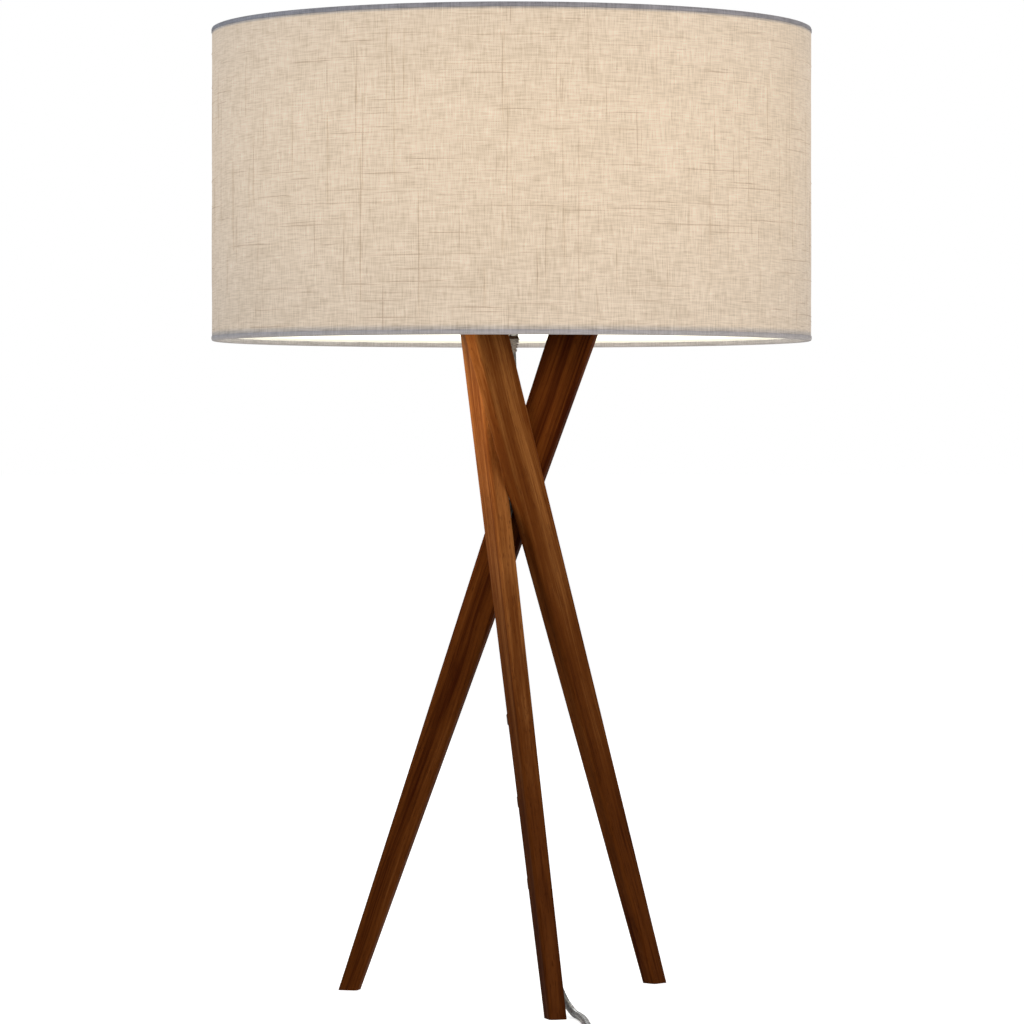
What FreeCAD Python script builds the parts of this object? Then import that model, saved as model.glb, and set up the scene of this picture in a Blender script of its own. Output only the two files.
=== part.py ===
"""Table lamp: three crossed board legs, a drum shade on a harp, socket, bulb, cord and plug.

Millimetres, +Z up. The origin is on the surface that the feet stand on, under the shade's centre.
-Y is the front. Plan angles are measured from the front towards +X.
"""
import FreeCAD, Part
import math
import os

V = FreeCAD.Vector

# ---------------------------------------------------------------- driving dimensions
SHADE_DIAMETER = 432.0  # a 17 inch drum
SHADE_BOTTOM = 473.0
SHADE_HEIGHT = 225.0
FABRIC_THICKNESS = 1.0
LINER_THICKNESS = 1.0
TRIM_WRAP = 0.7  # cloth of the edge trim, outside the cover
TRIM_HEIGHT = 3.4
RING_WIRE = 3.0

FOOT_CIRCLE_RADIUS = 132.0
FOOT_CIRCLE_SHIFT = 6.0  # the feet stand this far to the right of the shade's axis
FOOT_ANGLE = 10.7  # plan angle of the front foot
HUB_CIRCLE_RADIUS = 46.0  # of the leg tops, at the hub plate's underside
LEG_TWIST = 155.3  # plan angle from a foot back to the top of its leg
LEG_THICKNESS = 13.0
LEG_WIDTH_FOOT = 13.8
LEG_WIDTH_TOP = 33.2
LEG_EDGE_RADIUS = 2.6

HUB_UNDERSIDE = 482.0
HUB_THICKNESS = 12.0
HUB_DIAMETER = 140.0
HUB_EDGE_RADIUS = 2.0
SCREW_SHANK = 4.0
SCREW_HEAD = 8.0
SCREW_LENGTH = 38.0
PIN_DIAMETER = 5.0
PIN_SHORT_OF_AXIS = 2.5  # a waist pin stops this far from each leg's centre line

NIPPLE_DIAMETER = 9.7
NIPPLE_BORE = 6.6
NIPPLE_BELOW_HUB = 5.0
NUT_ACROSS_FLATS = 14.0
NUT_THICKNESS = 3.5
BUSHING_FLANGE = 11.0
BUSHING_BELOW_NIPPLE = 2.2
BUSHING_DEPTH = 6.0

SADDLE_THICKNESS = 1.5
SADDLE_WIDTH = 14.0
SADDLE_HALF_SPAN = 25.0
SADDLE_PRONG_HEIGHT = 20.0
HARP_WIRE = 4.0
HARP_HEIGHT = 178.0  # a 7 inch harp, from the saddle's seat to the shade's seat
HARP_HALF_WIDTH = 57.0
HARP_BOSS_DIAMETER = 12.0
HARP_BOSS_HEIGHT = 5.0
STUD_DIAMETER = 6.2
STUD_LENGTH = 14.0
SLEEVE_DIAMETER = 7.0
SLEEVE_LENGTH = 14.0

SOCKET_RADIUS = 17.0
SOCKET_WALL = 0.7
SOCKET_CAP_HEIGHT = 24.0
SOCKET_SHELL_HEIGHT = 40.0
SOCKET_SLEEVE_WALL = 0.7
SWITCH_HEIGHT = 15.0
SCREW_SHELL_RADIUS = 14.0
SCREW_SHELL_WALL = 0.6
SCREW_SHELL_HEIGHT = 20.0
SHAFT_DIAMETER = 3.2
KNOB_DIAMETER = 9.5
KNOB_LENGTH = 11.0
KNOB_REACH = 41.0  # from the socket's axis to the knob's end
KNOB_FLUTES = 12

BULB_DIAMETER = 60.0
BULB_LENGTH = 110.0
BULB_CAP_RADIUS = 13.1
BULB_CAP_HEIGHT = 20.0
BULB_CAP_WALL = 0.5
BULB_GLASS_WALL = 1.0
BULB_NECK_RADIUS = 12.2
BULB_INSULATOR_HEIGHT = 3.4
BULB_TIP_HEIGHT = 1.2

WASHER_RADIUS = 11.0
WASHER_THICKNESS = 2.0
SPIDER_WIRE = 3.6
FINIAL_HEIGHT = 20.0

CORD_DIAMETER = 5.5
CLIP_WALL = 1.6
CLIP_LENGTH = 7.0
TIE_THICKNESS = 0.7
TIE_WIDTH = 9.0
COIL_CENTRE = V(24.0, -303.0, 0.0)
COIL_MIDDLE_RADIUS = 32.3
COIL_HALF_WIDTH = 8.6
COIL_THICKNESS = 11.0
PLUG_LENGTH = 32.0
PLUG_WIDTH = 24.0
PLUG_THICKNESS = 12.0
RELIEF_LENGTH = 22.0
RELIEF_END_DIAMETER = 7.5
BLADE_LENGTH = 17.5
BLADE_WIDTH = 6.3
BLADE_THICKNESS = 1.5
BLADE_SPACING = 12.7

# ---------------------------------------------------------------- clearances
SEAT_GAP = 0.3  # between pieces that move apart
RUNNING_GAP = 0.08  # radial, of a shaft in its hole
CORD_GAP = 0.05  # radial, of a hole round the cord

# ---------------------------------------------------------------- heights that follow
SHADE_TOP = SHADE_BOTTOM + SHADE_HEIGHT
SHADE_RADIUS = SHADE_DIAMETER / 2
LINER_RADIUS = SHADE_RADIUS - FABRIC_THICKNESS
LINER_INSIDE = LINER_RADIUS - LINER_THICKNESS
RING_RADIUS = LINER_INSIDE - RING_WIRE / 2
HUB_TOP = HUB_UNDERSIDE + HUB_THICKNESS
NIPPLE_BOTTOM = HUB_UNDERSIDE - NIPPLE_BELOW_HUB
CORD_EXIT = NIPPLE_BOTTOM - BUSHING_BELOW_NIPPLE
SADDLE_TOP = HUB_TOP + SADDLE_THICKNESS
CAP_BOTTOM = SADDLE_TOP + NUT_THICKNESS
CAP_TOP = CAP_BOTTOM + SOCKET_CAP_HEIGHT
NIPPLE_TOP = CAP_BOTTOM + 7.0
SHELL_OUTSIDE = SOCKET_RADIUS - SOCKET_WALL
SHELL_INSIDE = SHELL_OUTSIDE - SOCKET_WALL
SHELL_BOTTOM = CAP_TOP - 6.0
SHELL_TOP = SHELL_BOTTOM + SOCKET_SHELL_HEIGHT
SLEEVE_INSIDE = SHELL_INSIDE - SOCKET_SLEEVE_WALL
SWITCH_BOTTOM = CAP_TOP - 6.0
SWITCH_TOP = SWITCH_BOTTOM + SWITCH_HEIGHT
KNOB_HEIGHT = SWITCH_BOTTOM + SWITCH_HEIGHT / 2
SCREW_SHELL_TOP = SWITCH_TOP + SCREW_SHELL_HEIGHT
CONTACT_TOP = SWITCH_TOP + 3.0
BULB_BOTTOM = CONTACT_TOP + SEAT_GAP
BULB_CAP_BOTTOM = BULB_BOTTOM + BULB_TIP_HEIGHT + BULB_INSULATOR_HEIGHT
BULB_CAP_TOP = BULB_CAP_BOTTOM + BULB_CAP_HEIGHT
BULB_CENTRE = BULB_BOTTOM + BULB_LENGTH - BULB_DIAMETER / 2
HARP_TOP = HUB_TOP + HARP_HEIGHT
PRONG_TOP = HUB_TOP + SADDLE_PRONG_HEIGHT
WASHER_TOP = HARP_TOP + WASHER_THICKNESS
SPIDER_ARMS = 3
FINIAL_FOOT_RADIUS = 7.0
TOP_RING_HEIGHT = SHADE_TOP - TRIM_WRAP - RING_WIRE / 2
BOTTOM_RING_HEIGHT = SHADE_BOTTOM + TRIM_WRAP + RING_WIRE / 2
CORD_ON_FLOOR = CORD_DIAMETER / 2

# The cord's route, chosen by hand: down the stem's line, through the waist, along the inner side of
# the front leg, round its foot and forwards over the floor to the coil.
CORD_ROUTE = [
    V(0.0, 0.0, CORD_EXIT),
    V(0.4, 0.1, 440.0),
    V(1.9, -0.2, 398.0),
    V(1.4, 0.2, 356.0),
    V(1.0, -0.8, 318.0),
    V(-3.0, -11.0, 278.0),
    V(-3.5, -34.3, 231.0),
    V(5.3, -54.2, 175.0),
    V(11.2, -76.1, 117.0),
    V(19.6, -95.4, 63.0),
    V(30.0, -100.0, 28.6),
    V(35.6, -107.5, 12.2),
    V(43.0, -122.2, CORD_ON_FLOOR),
    V(48.0, -142.0, CORD_ON_FLOOR),
    V(51.0, -174.0, CORD_ON_FLOOR),
    V(52.5, -214.0, CORD_ON_FLOOR),
    V(58.5, -256.0, CORD_ON_FLOOR),
    V(61.5, -292.0, CORD_ON_FLOOR + TIE_THICKNESS),
]
CLIPPED_RUNS = (6, 7, 8)  # each of these runs of the route is held at its middle
TAIL_ROUTE = [
    V(18.0, -341.2, 8.9),
    V(0.0, -341.8, 6.6),
    V(-18.0, -339.6, 3.5),
    V(-36.0, -335.4, 4.6),
]


# ---------------------------------------------------------------- helpers
def on_plan(radius, angle, height=0.0):
    """A point at a plan angle from the front."""
    a = math.radians(angle)
    return V(radius * math.sin(a), -radius * math.cos(a), height)


def cylinder(radius, bottom, top, centre=V(0, 0, 0)):
    return Part.makeCylinder(radius, top - bottom, V(centre.x, centre.y, bottom))


def rod(start, end, diameter):
    along = end - start
    return Part.makeCylinder(diameter / 2, along.Length, start, along)


def tube(outside, inside, bottom, top):
    return cylinder(outside, bottom, top).cut(cylinder(inside, bottom - 1, top + 1))


def turned(profile):
    """A solid of revolution about Z from (radius, height) corners and (corner, through, end) arcs."""
    edges = []
    start = None
    first = None
    for item in profile:
        if len(item) == 2:
            point = V(item[0], 0, item[1])
            if start is not None and point.distanceToPoint(start) > 1e-6:
                edges.append(Part.makeLine(start, point))
        else:
            through = V(item[0], 0, item[1])
            point = V(item[2], 0, item[3])
            edges.append(Part.Arc(start, through, point).toShape())
        first = first or point
        start = point
    if start.distanceToPoint(first) > 1e-6:
        edges.append(Part.makeLine(start, first))
    face = Part.Face(Part.Wire(edges))
    return face.revolve(V(0, 0, 0), V(0, 0, 1), 360)


def hexagon(across_flats, bottom, top, bore):
    corner = across_flats / math.sqrt(3)
    points = [on_plan(corner, 60 * i, bottom) for i in range(6)]
    face = Part.Face(Part.makePolygon(points + points[:1]))
    return face.extrude(V(0, 0, top - bottom)).cut(cylinder(bore / 2, bottom - 1, top + 1))


def rounded_path(points, name=None):
    """Straight runs joined by tangent arcs, each as large as its two runs allow."""
    edges = []
    radii = []
    start = points[0]
    for before, corner, after in zip(points, points[1:], points[2:]):
        back = before - corner
        ahead = after - corner
        turn = math.pi - back.getAngle(ahead)
        reach = 0.45 * min(back.Length, ahead.Length)
        radii.append(reach / math.tan(turn / 2))
        back.normalize()
        ahead.normalize()
        enter = corner + back * reach
        leave = corner + ahead * reach
        middle = back + ahead
        middle.normalize()
        depth = radii[-1] / math.cos(turn / 2) - radii[-1]
        edges.append(Part.LineSegment(start, enter).toShape())
        edges.append(Part.Arc(enter, corner + middle * depth, leave).toShape())
        start = leave
    edges.append(Part.LineSegment(start, points[-1]).toShape())
    path = Part.Wire(edges)
    if name:
        print(name, "length", round(path.Length, 1), "radii", [round(r, 1) for r in radii])
    return path


def swept(points, diameter, name=None):
    """A round bar along a rounded path."""
    path = rounded_path(points, name)
    start = points[0]
    circle = Part.Wire([Part.Circle(start, points[1] - start, diameter / 2).toShape()])
    solid = path.makePipeShell([circle], True, False)
    if name:
        whole = math.pi * diameter**2 / 4 * path.Length
        print(name, "volume over section times length", round(solid.Volume / whole, 4))
    return solid


def compound(solids):
    return Part.makeCompound(solids)


# ---------------------------------------------------------------- legs
def leg_line(index):
    """Centre of a leg's foot and of its top, at the hub plate's underside."""
    angle = FOOT_ANGLE + 120 * index
    foot = on_plan(FOOT_CIRCLE_RADIUS, angle) + V(FOOT_CIRCLE_SHIFT, 0, 0)
    top = on_plan(HUB_CIRCLE_RADIUS, angle - LEG_TWIST, HUB_UNDERSIDE)
    return foot, top


def leg_frame(index):
    """Foot, unit vectors along the leg, across its width and through its thickness."""
    foot, top = leg_line(index)
    along = top - foot
    along.normalize()
    side = V(0, 0, 1).cross(along)
    side.normalize()
    outward = along.cross(side)
    outward.normalize()
    return foot, along, outward, side


def leg_width(height):
    return LEG_WIDTH_FOOT + (LEG_WIDTH_TOP - LEG_WIDTH_FOOT) * height / HUB_UNDERSIDE


def section(centre, across, through, width, thickness, radius):
    """A closed rounded rectangle about a centre."""
    half_w = width / 2
    half_t = thickness / 2
    k = radius * (1 - math.sqrt(0.5))
    edges = []
    corners = [(1, 1), (-1, 1), (-1, -1), (1, -1)]
    ends = []
    for i, (a, b) in enumerate(corners):
        on_width = centre + across * (a * (half_w - radius)) + through * (b * half_t)
        on_thick = centre + across * (a * half_w) + through * (b * (half_t - radius))
        middle = centre + across * (a * (half_w - k)) + through * (b * (half_t - k))
        first, last = (on_thick, on_width) if i % 2 == 0 else (on_width, on_thick)
        ends.append((first, last))
        edges.append(Part.Arc(first, middle, last).toShape())
    whole = []
    for i in range(4):
        whole.append(edges[i])
        whole.append(Part.makeLine(ends[i][1], ends[(i + 1) % 4][0]))
    return Part.Wire(whole)


def leg_blank(index):
    """The tapered board, longer than the leg at both ends, cut level at the foot and at the hub."""
    foot, along, outward, side = leg_frame(index)
    sections = []
    for height in (-30.0, HUB_UNDERSIDE + 30.0):
        centre = foot + along * (height / along.z)
        sections.append(section(centre, outward, side, leg_width(height), LEG_THICKNESS, LEG_EDGE_RADIUS))
    board = Part.makeLoft(sections, True, True)
    keep = Part.makeBox(600, 600, HUB_UNDERSIDE, V(-300, -300, 0))
    return board.common(keep)


def waist_pin(index):
    """The pin from a leg to the next one, on the common perpendicular of their centre lines."""
    p, d = leg_frame(index)[:2]
    q, e = leg_frame((index + 1) % 3)[:2]
    between = q - p
    level = d.dot(e)
    a = (between.dot(d) - level * between.dot(e)) / (1 - level**2)
    b = (level * between.dot(d) - between.dot(e)) / (1 - level**2)
    start = p + d * a
    end = q + e * b
    toward = end - start
    toward.normalize()
    return rod(start + toward * PIN_SHORT_OF_AXIS, end - toward * PIN_SHORT_OF_AXIS, PIN_DIAMETER)


def leg_screw(index):
    """A countersunk wood screw, down through the hub plate into a leg."""
    top = leg_line(index)[1]
    cone_height = (SCREW_HEAD - SCREW_SHANK) / 2
    shank = cylinder(SCREW_SHANK / 2, HUB_TOP - SCREW_LENGTH, HUB_TOP - cone_height, top)
    head = Part.makeCone(SCREW_SHANK / 2, SCREW_HEAD / 2, cone_height, V(top.x, top.y, HUB_TOP - cone_height))
    return shank.fuse(head).removeSplitter()


def hub_plate():
    plate = cylinder(HUB_DIAMETER / 2, HUB_UNDERSIDE, HUB_TOP)
    plate = plate.makeFillet(HUB_EDGE_RADIUS, [e for e in plate.Edges if e.isClosed() and e.Length > 300])
    return plate.cut(cylinder(NIPPLE_DIAMETER / 2, HUB_UNDERSIDE - 1, HUB_TOP + 1))


# ---------------------------------------------------------------- stem and harp
def cord_bushing():
    neck = NIPPLE_BORE / 2
    hole = CORD_DIAMETER / 2 + CORD_GAP
    flange = BUSHING_FLANGE / 2
    return turned([
        (hole, CORD_EXIT),
        (flange, CORD_EXIT),
        (flange - 0.8, NIPPLE_BOTTOM),
        (neck, NIPPLE_BOTTOM),
        (neck, NIPPLE_BOTTOM + BUSHING_DEPTH),
        (hole, NIPPLE_BOTTOM + BUSHING_DEPTH),
    ])


def harp_saddle():
    strip = Part.makeBox(
        2 * SADDLE_HALF_SPAN + HARP_WIRE, SADDLE_WIDTH, SADDLE_THICKNESS,
        V(-SADDLE_HALF_SPAN - HARP_WIRE / 2, -SADDLE_WIDTH / 2, HUB_TOP),
    )
    strip = strip.makeFillet(SADDLE_WIDTH * 0.3, [e for e in strip.Edges if abs(e.Length - SADDLE_THICKNESS) < 1e-6])
    for side in (-1, 1):
        strip = strip.fuse(cylinder(HARP_WIRE / 2, HUB_TOP, PRONG_TOP, V(side * SADDLE_HALF_SPAN, 0, 0)))
    return strip.removeSplitter().cut(cylinder(NIPPLE_DIAMETER / 2, HUB_TOP - 1, SADDLE_TOP + 1))


def harp():
    """The wire bow in the XZ plane, with the boss and the stud that the shade is fixed on."""
    boss_middle = HARP_TOP - HARP_BOSS_HEIGHT / 2
    bow = cylinder(HARP_BOSS_DIAMETER / 2, HARP_TOP - HARP_BOSS_HEIGHT, HARP_TOP)
    bow = bow.fuse(cylinder(STUD_DIAMETER / 2, HARP_TOP, HARP_TOP + STUD_LENGTH))
    for side in (-1, 1):
        half = [
            V(side * SADDLE_HALF_SPAN, 0, PRONG_TOP),
            V(side * SADDLE_HALF_SPAN, 0, PRONG_TOP + 16),
            V(side * HARP_HALF_WIDTH, 0, PRONG_TOP + 56),
            V(side * HARP_HALF_WIDTH, 0, HARP_TOP - 48),
            V(side * HARP_HALF_WIDTH * 0.55, 0, boss_middle),
            V(side * HARP_BOSS_DIAMETER * 0.3, 0, boss_middle),
        ]
        bow = bow.fuse(swept(half, HARP_WIRE))
    return bow.removeSplitter()


def harp_sleeves():
    bottom = PRONG_TOP - SLEEVE_LENGTH / 2
    sleeves = []
    for side in (-1, 1):
        middle = V(side * SADDLE_HALF_SPAN, 0, 0)
        solid = cylinder(SLEEVE_DIAMETER / 2, bottom, bottom + SLEEVE_LENGTH, middle)
        sleeves.append(solid.cut(cylinder(HARP_WIRE / 2, bottom - 1, bottom + SLEEVE_LENGTH + 1, middle)))
    return compound(sleeves)


# ---------------------------------------------------------------- socket and switch
def socket_cap():
    """The turned brass cup that screws on the nipple, with a notch for the switch shaft in its rim."""
    bore = NIPPLE_DIAMETER / 2
    hub = bore + 2.4
    skirt = CAP_TOP - 7.0
    knee = CAP_BOTTOM + 7.0
    cup = turned([
        (bore, CAP_BOTTOM),
        (hub, CAP_BOTTOM),
        (hub, knee),
        (hub + 5.5, knee + 2.5, SOCKET_RADIUS, skirt),
        (SOCKET_RADIUS, CAP_TOP),
        (SHELL_OUTSIDE, CAP_TOP),
        (SHELL_OUTSIDE, skirt + 0.4),
        (hub + 5.0, knee + 3.4, bore + 0.9, knee + 0.9),
        (bore, knee + 0.9),
    ])
    return cup.cut(shaft_hole(SHAFT_DIAMETER / 2 + 1.2))


def shaft_hole(radius):
    return rod(V(0, 0, KNOB_HEIGHT), V(0, -SOCKET_RADIUS - 5, KNOB_HEIGHT), 2 * radius)


def socket_shell():
    bead = 0.9
    shell = turned([
        (SHELL_INSIDE, SHELL_BOTTOM),
        (SHELL_OUTSIDE, SHELL_BOTTOM),
        (SHELL_OUTSIDE, SHELL_TOP - 2 * bead),
        (SHELL_OUTSIDE + bead, SHELL_TOP - bead, SHELL_OUTSIDE, SHELL_TOP),
        (SHELL_INSIDE, SHELL_TOP),
    ])
    return shell.cut(shaft_hole(SHAFT_DIAMETER / 2 + 1.2))


def socket_sleeve():
    sleeve = tube(SHELL_INSIDE, SLEEVE_INSIDE, SWITCH_BOTTOM, SHELL_TOP - 2.0)
    return sleeve.cut(shaft_hole(SHAFT_DIAMETER / 2 + 1.2))


def switch_body():
    """The moulded block with the rotary switch, its wire way and its shaft hole."""
    block = cylinder(SLEEVE_INSIDE, SWITCH_BOTTOM, SWITCH_TOP)
    block = block.cut(shaft_hole(SHAFT_DIAMETER / 2 + RUNNING_GAP))
    for side in (-1, 1):
        block = block.cut(cylinder(2.6, SWITCH_BOTTOM - 1, SWITCH_BOTTOM + 6, V(side * 9.5, 2.0, 0)))
    return block


def terminal_screws():
    """Two screws on the underside of the switch block, in its recesses."""
    screws = []
    for side in (-1, 1):
        middle = V(side * 9.5, 2.0, 0)
        head = cylinder(2.6, SWITCH_BOTTOM + 3.4, SWITCH_BOTTOM + 6, middle)
        slot = Part.makeBox(6, 0.7, 0.8, V(middle.x - 3, middle.y - 0.35, SWITCH_BOTTOM + 3.4))
        screws.append(head.cut(slot))
    return compound(screws)


def lead_wires():
    """The cord's end inside the stem, and its two bared leads up to the terminals."""
    split = NIPPLE_TOP + 2.5
    core = cylinder(CORD_DIAMETER / 2, CORD_EXIT, split)
    for side in (-1, 1):
        lead = [
            V(side * 1.3, 0, split - 2),
            V(side * 1.6, 0, split + 3.0),
            V(side * 9.5, 2.0, SWITCH_BOTTOM - 3.0),
            V(side * 9.5, 2.0, SWITCH_BOTTOM + 3.4),
        ]
        core = core.fuse(swept(lead, 2.2))
    return core.removeSplitter()


def screw_shell():
    return tube(SCREW_SHELL_RADIUS, SCREW_SHELL_RADIUS - SCREW_SHELL_WALL, SWITCH_TOP, SCREW_SHELL_TOP)


def centre_contact():
    """A brass tongue, riveted to the switch block, under the bulb's tip."""
    rivet = cylinder(2.0, SWITCH_TOP, CONTACT_TOP - 0.8, V(0, 6.5, 0))
    tongue = Part.makeBox(6, 10.5, 0.8, V(-3, -2, CONTACT_TOP - 0.8))
    return rivet.fuse(tongue).removeSplitter()


def switch_shaft():
    return rod(V(0, -4.0, KNOB_HEIGHT), V(0, -KNOB_REACH + KNOB_LENGTH / 2, KNOB_HEIGHT), SHAFT_DIAMETER)


def switch_knob():
    """A fluted turn knob, bored for half its length."""
    front = V(0, -KNOB_REACH, KNOB_HEIGHT)
    back = V(0, -KNOB_REACH + KNOB_LENGTH, KNOB_HEIGHT)
    knob = rod(back, front, KNOB_DIAMETER)
    knob = knob.makeFillet(1.2, [e for e in knob.Edges if e.isClosed()])
    for i in range(KNOB_FLUTES):
        at = on_plan(KNOB_DIAMETER / 2 + 0.25, 360 / KNOB_FLUTES * i)
        shift = V(at.x, 0, at.y)
        knob = knob.cut(rod(back + shift, front + shift, 1.2))
    return knob.cut(rod(V(0, -KNOB_REACH + KNOB_LENGTH / 2, KNOB_HEIGHT), back + V(0, 1, 0), SHAFT_DIAMETER))


# ---------------------------------------------------------------- bulb
def bulb_outline(shrink):
    """Half outline of the glass: globe, tangent cone and neck, inset by the wall."""
    radius = BULB_DIAMETER / 2 - shrink
    neck = BULB_NECK_RADIUS - shrink
    neck_top = BULB_CAP_TOP + 2.0
    drop = BULB_CENTRE - neck_top
    reach = math.hypot(neck, drop)
    lean = math.acos(radius / reach) + math.atan2(neck, drop)
    touch = (radius * math.sin(lean), BULB_CENTRE - radius * math.cos(lean))
    half = (math.pi + lean) / 2
    return [
        (0.0, BULB_CENTRE + radius),
        (radius * math.sin(half), BULB_CENTRE - radius * math.cos(half), touch[0], touch[1]),
        (neck, neck_top),
        (neck, BULB_CAP_TOP - 8.0),
        (0.0, BULB_CAP_TOP - 8.0),
    ]


def bulb_glass():
    outside = turned(bulb_outline(0.0))
    inside = turned(bulb_outline(BULB_GLASS_WALL))
    inside = inside.fuse(cylinder(BULB_NECK_RADIUS - BULB_GLASS_WALL, BULB_CAP_TOP - 9.0, BULB_CAP_TOP))
    return outside.cut(inside.removeSplitter())


def bulb_cap():
    """The screw cap: a thin rolled cup round the glass neck."""
    inside = BULB_NECK_RADIUS
    return turned([
        (6.0, BULB_CAP_BOTTOM),
        (BULB_CAP_RADIUS - 1.0, BULB_CAP_BOTTOM),
        (BULB_CAP_RADIUS, BULB_CAP_BOTTOM + 1.0),
        (BULB_CAP_RADIUS, BULB_CAP_TOP),
        (inside, BULB_CAP_TOP),
        (inside, BULB_CAP_BOTTOM + 1.4),
        (6.0, BULB_CAP_BOTTOM + 0.8),
    ])


def bulb_insulator():
    bottom = BULB_BOTTOM + BULB_TIP_HEIGHT
    return Part.makeCone(5.4, 9.5, BULB_INSULATOR_HEIGHT, V(0, 0, bottom))


def bulb_tip():
    return Part.makeCone(3.4, 4.8, BULB_TIP_HEIGHT, V(0, 0, BULB_BOTTOM))


def bulb_light_guide():
    """The stem inside the glass that carries the light source."""
    bottom = BULB_CAP_TOP - 8.0
    top = BULB_CENTRE + 8.0
    stem = Part.makeCone(BULB_NECK_RADIUS - BULB_GLASS_WALL, 4.0, BULB_CENTRE - 22.0 - bottom, V(0, 0, bottom))
    column = cylinder(4.0, BULB_CENTRE - 22.0, top)
    return stem.fuse(column).removeSplitter()


# ---------------------------------------------------------------- shade
def ring_wire(height):
    return Part.makeTorus(RING_RADIUS, RING_WIRE / 2, V(0, 0, height))


def edge_trim(edge, inward):
    """A strip of cloth rolled over the cover's edge and the ring wire; inward is -1 at the top, 1 below."""
    outside = SHADE_RADIUS + TRIM_WRAP
    inside = RING_RADIUS - RING_WIRE / 2 - TRIM_WRAP
    fold = edge + inward * TRIM_WRAP
    hem = edge + inward * TRIM_HEIGHT
    easing = TRIM_WRAP * 0.9
    near = TRIM_WRAP * 0.9 * (1 - math.sqrt(0.5))
    return turned([
        (SHADE_RADIUS, hem),
        (outside, hem),
        (outside, edge + inward * easing),
        (outside - near, edge + inward * near, outside - easing, edge),
        (inside + easing, edge),
        (inside + near, edge + inward * near, inside, edge + inward * easing),
        (inside, hem),
        (inside + TRIM_WRAP, hem),
        (inside + TRIM_WRAP, fold),
        (SHADE_RADIUS, fold),
    ])


def shade_wall(outside, thickness):
    return tube(outside, outside - thickness, SHADE_BOTTOM + TRIM_WRAP, SHADE_TOP - TRIM_WRAP)


def spider(ring):
    """The washer on the harp and three arms up to the top ring, where they are welded under it."""
    end_height = TOP_RING_HEIGHT - RING_WIRE / 2 - SPIDER_WIRE / 2 + 0.2
    start_height = HARP_TOP + SPIDER_WIRE / 2
    frame = cylinder(WASHER_RADIUS, HARP_TOP, WASHER_TOP)
    for i in range(SPIDER_ARMS):
        angle = 60 + 360 / SPIDER_ARMS * i
        arm = [
            on_plan(WASHER_RADIUS - 3.0, angle, start_height),
            on_plan(WASHER_RADIUS + 24, angle, start_height),
            on_plan(RING_RADIUS - 42, angle, end_height),
            on_plan(RING_RADIUS + 0.6, angle, end_height),
        ]
        frame = frame.fuse(swept(arm, SPIDER_WIRE))
    hole = cylinder(STUD_DIAMETER / 2 + SEAT_GAP, HARP_TOP - 1, HARP_TOP + 20)
    room = cylinder(FINIAL_FOOT_RADIUS + SEAT_GAP, WASHER_TOP, HARP_TOP + 20)
    return frame.removeSplitter().cut(ring).cut(hole).cut(room)


def finial():
    """A small turned brass nut with a ball, bored for the harp's stud."""
    z = WASHER_TOP
    foot = FINIAL_FOOT_RADIUS
    body = turned([
        (0.0, z),
        (foot, z),
        (foot, z + 1.6),
        (foot - 2.0, z + 2.6, foot - 2.2, z + 4.6),
        (foot + 0.9, z + 10.0, 2.6, z + 16.0),
        (1.9, z + 17.4, 2.2, z + 18.4),
        (1.3, z + FINIAL_HEIGHT),
        (0.0, z + FINIAL_HEIGHT),
    ])
    bore_top = HARP_TOP + STUD_LENGTH + 1.0
    return body.cut(cylinder(STUD_DIAMETER / 2 + RUNNING_GAP, z - 1, bore_top))


# ---------------------------------------------------------------- cord
def cord_clip(run):
    """A moulded saddle on the front leg's inner face, round the middle of one run of the cord."""
    start = CORD_ROUTE[run]
    end = CORD_ROUTE[run + 1]
    middle = (start + end) * 0.5
    foot, top = leg_line(0)
    outward, side = leg_frame(0)[2:]
    low = foot - outward * (leg_width(0) / 2)
    high = top - outward * (leg_width(HUB_UNDERSIDE) / 2)
    up = high - low
    up.normalize()
    inward = up.cross(side)
    inward.normalize()
    if inward.dot(outward) > 0:
        inward = inward * -1
    height = (middle - low).dot(inward)
    seat = middle - inward * height
    half = CORD_DIAMETER / 2 + CLIP_WALL

    def block(width, depth):
        corner = seat - side * (width / 2) - up * (CLIP_LENGTH / 2)
        points = [corner, corner + side * width, corner + side * width + up * CLIP_LENGTH, corner + up * CLIP_LENGTH]
        return Part.Face(Part.makePolygon(points + points[:1])).extrude(inward * depth)

    saddle = block(2 * half, height)
    crown = rod(middle - up * (CLIP_LENGTH / 2), middle + up * (CLIP_LENGTH / 2), 2 * half)
    saddle = saddle.fuse(crown.common(block(3 * half, 3 * half)))
    saddle = saddle.removeSplitter()
    run_way = end - start
    run_way.normalize()
    hole = rod(middle - run_way * 20, middle + run_way * 20, CORD_DIAMETER + 2 * CORD_GAP)
    return saddle.cut(hole)


def coil_section(grow):
    """Rounded outline of the coil's bundle of turns, in the XZ plane, with the coil's axis on Z."""
    bottom = TIE_THICKNESS - grow
    top = TIE_THICKNESS + COIL_THICKNESS + grow
    near = COIL_MIDDLE_RADIUS - COIL_HALF_WIDTH - grow
    far = COIL_MIDDLE_RADIUS + COIL_HALF_WIDTH + grow
    r = CORD_DIAMETER / 2 + grow
    k = r * (1 - math.sqrt(0.5))
    return [
        (near + r, bottom),
        (far - r, bottom),
        (far - k, bottom + k, far, bottom + r),
        (far, top - r),
        (far - k, top - k, far - r, top),
        (near + r, top),
        (near + k, top - k, near, top - r),
        (near, bottom + r),
        (near + k, bottom + k, near + r, bottom),
    ]


def cord_coil():
    """The put-away length, as the outer shape of its coil."""
    coil = turned(coil_section(0.0))
    coil.translate(COIL_CENTRE)
    return coil


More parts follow.
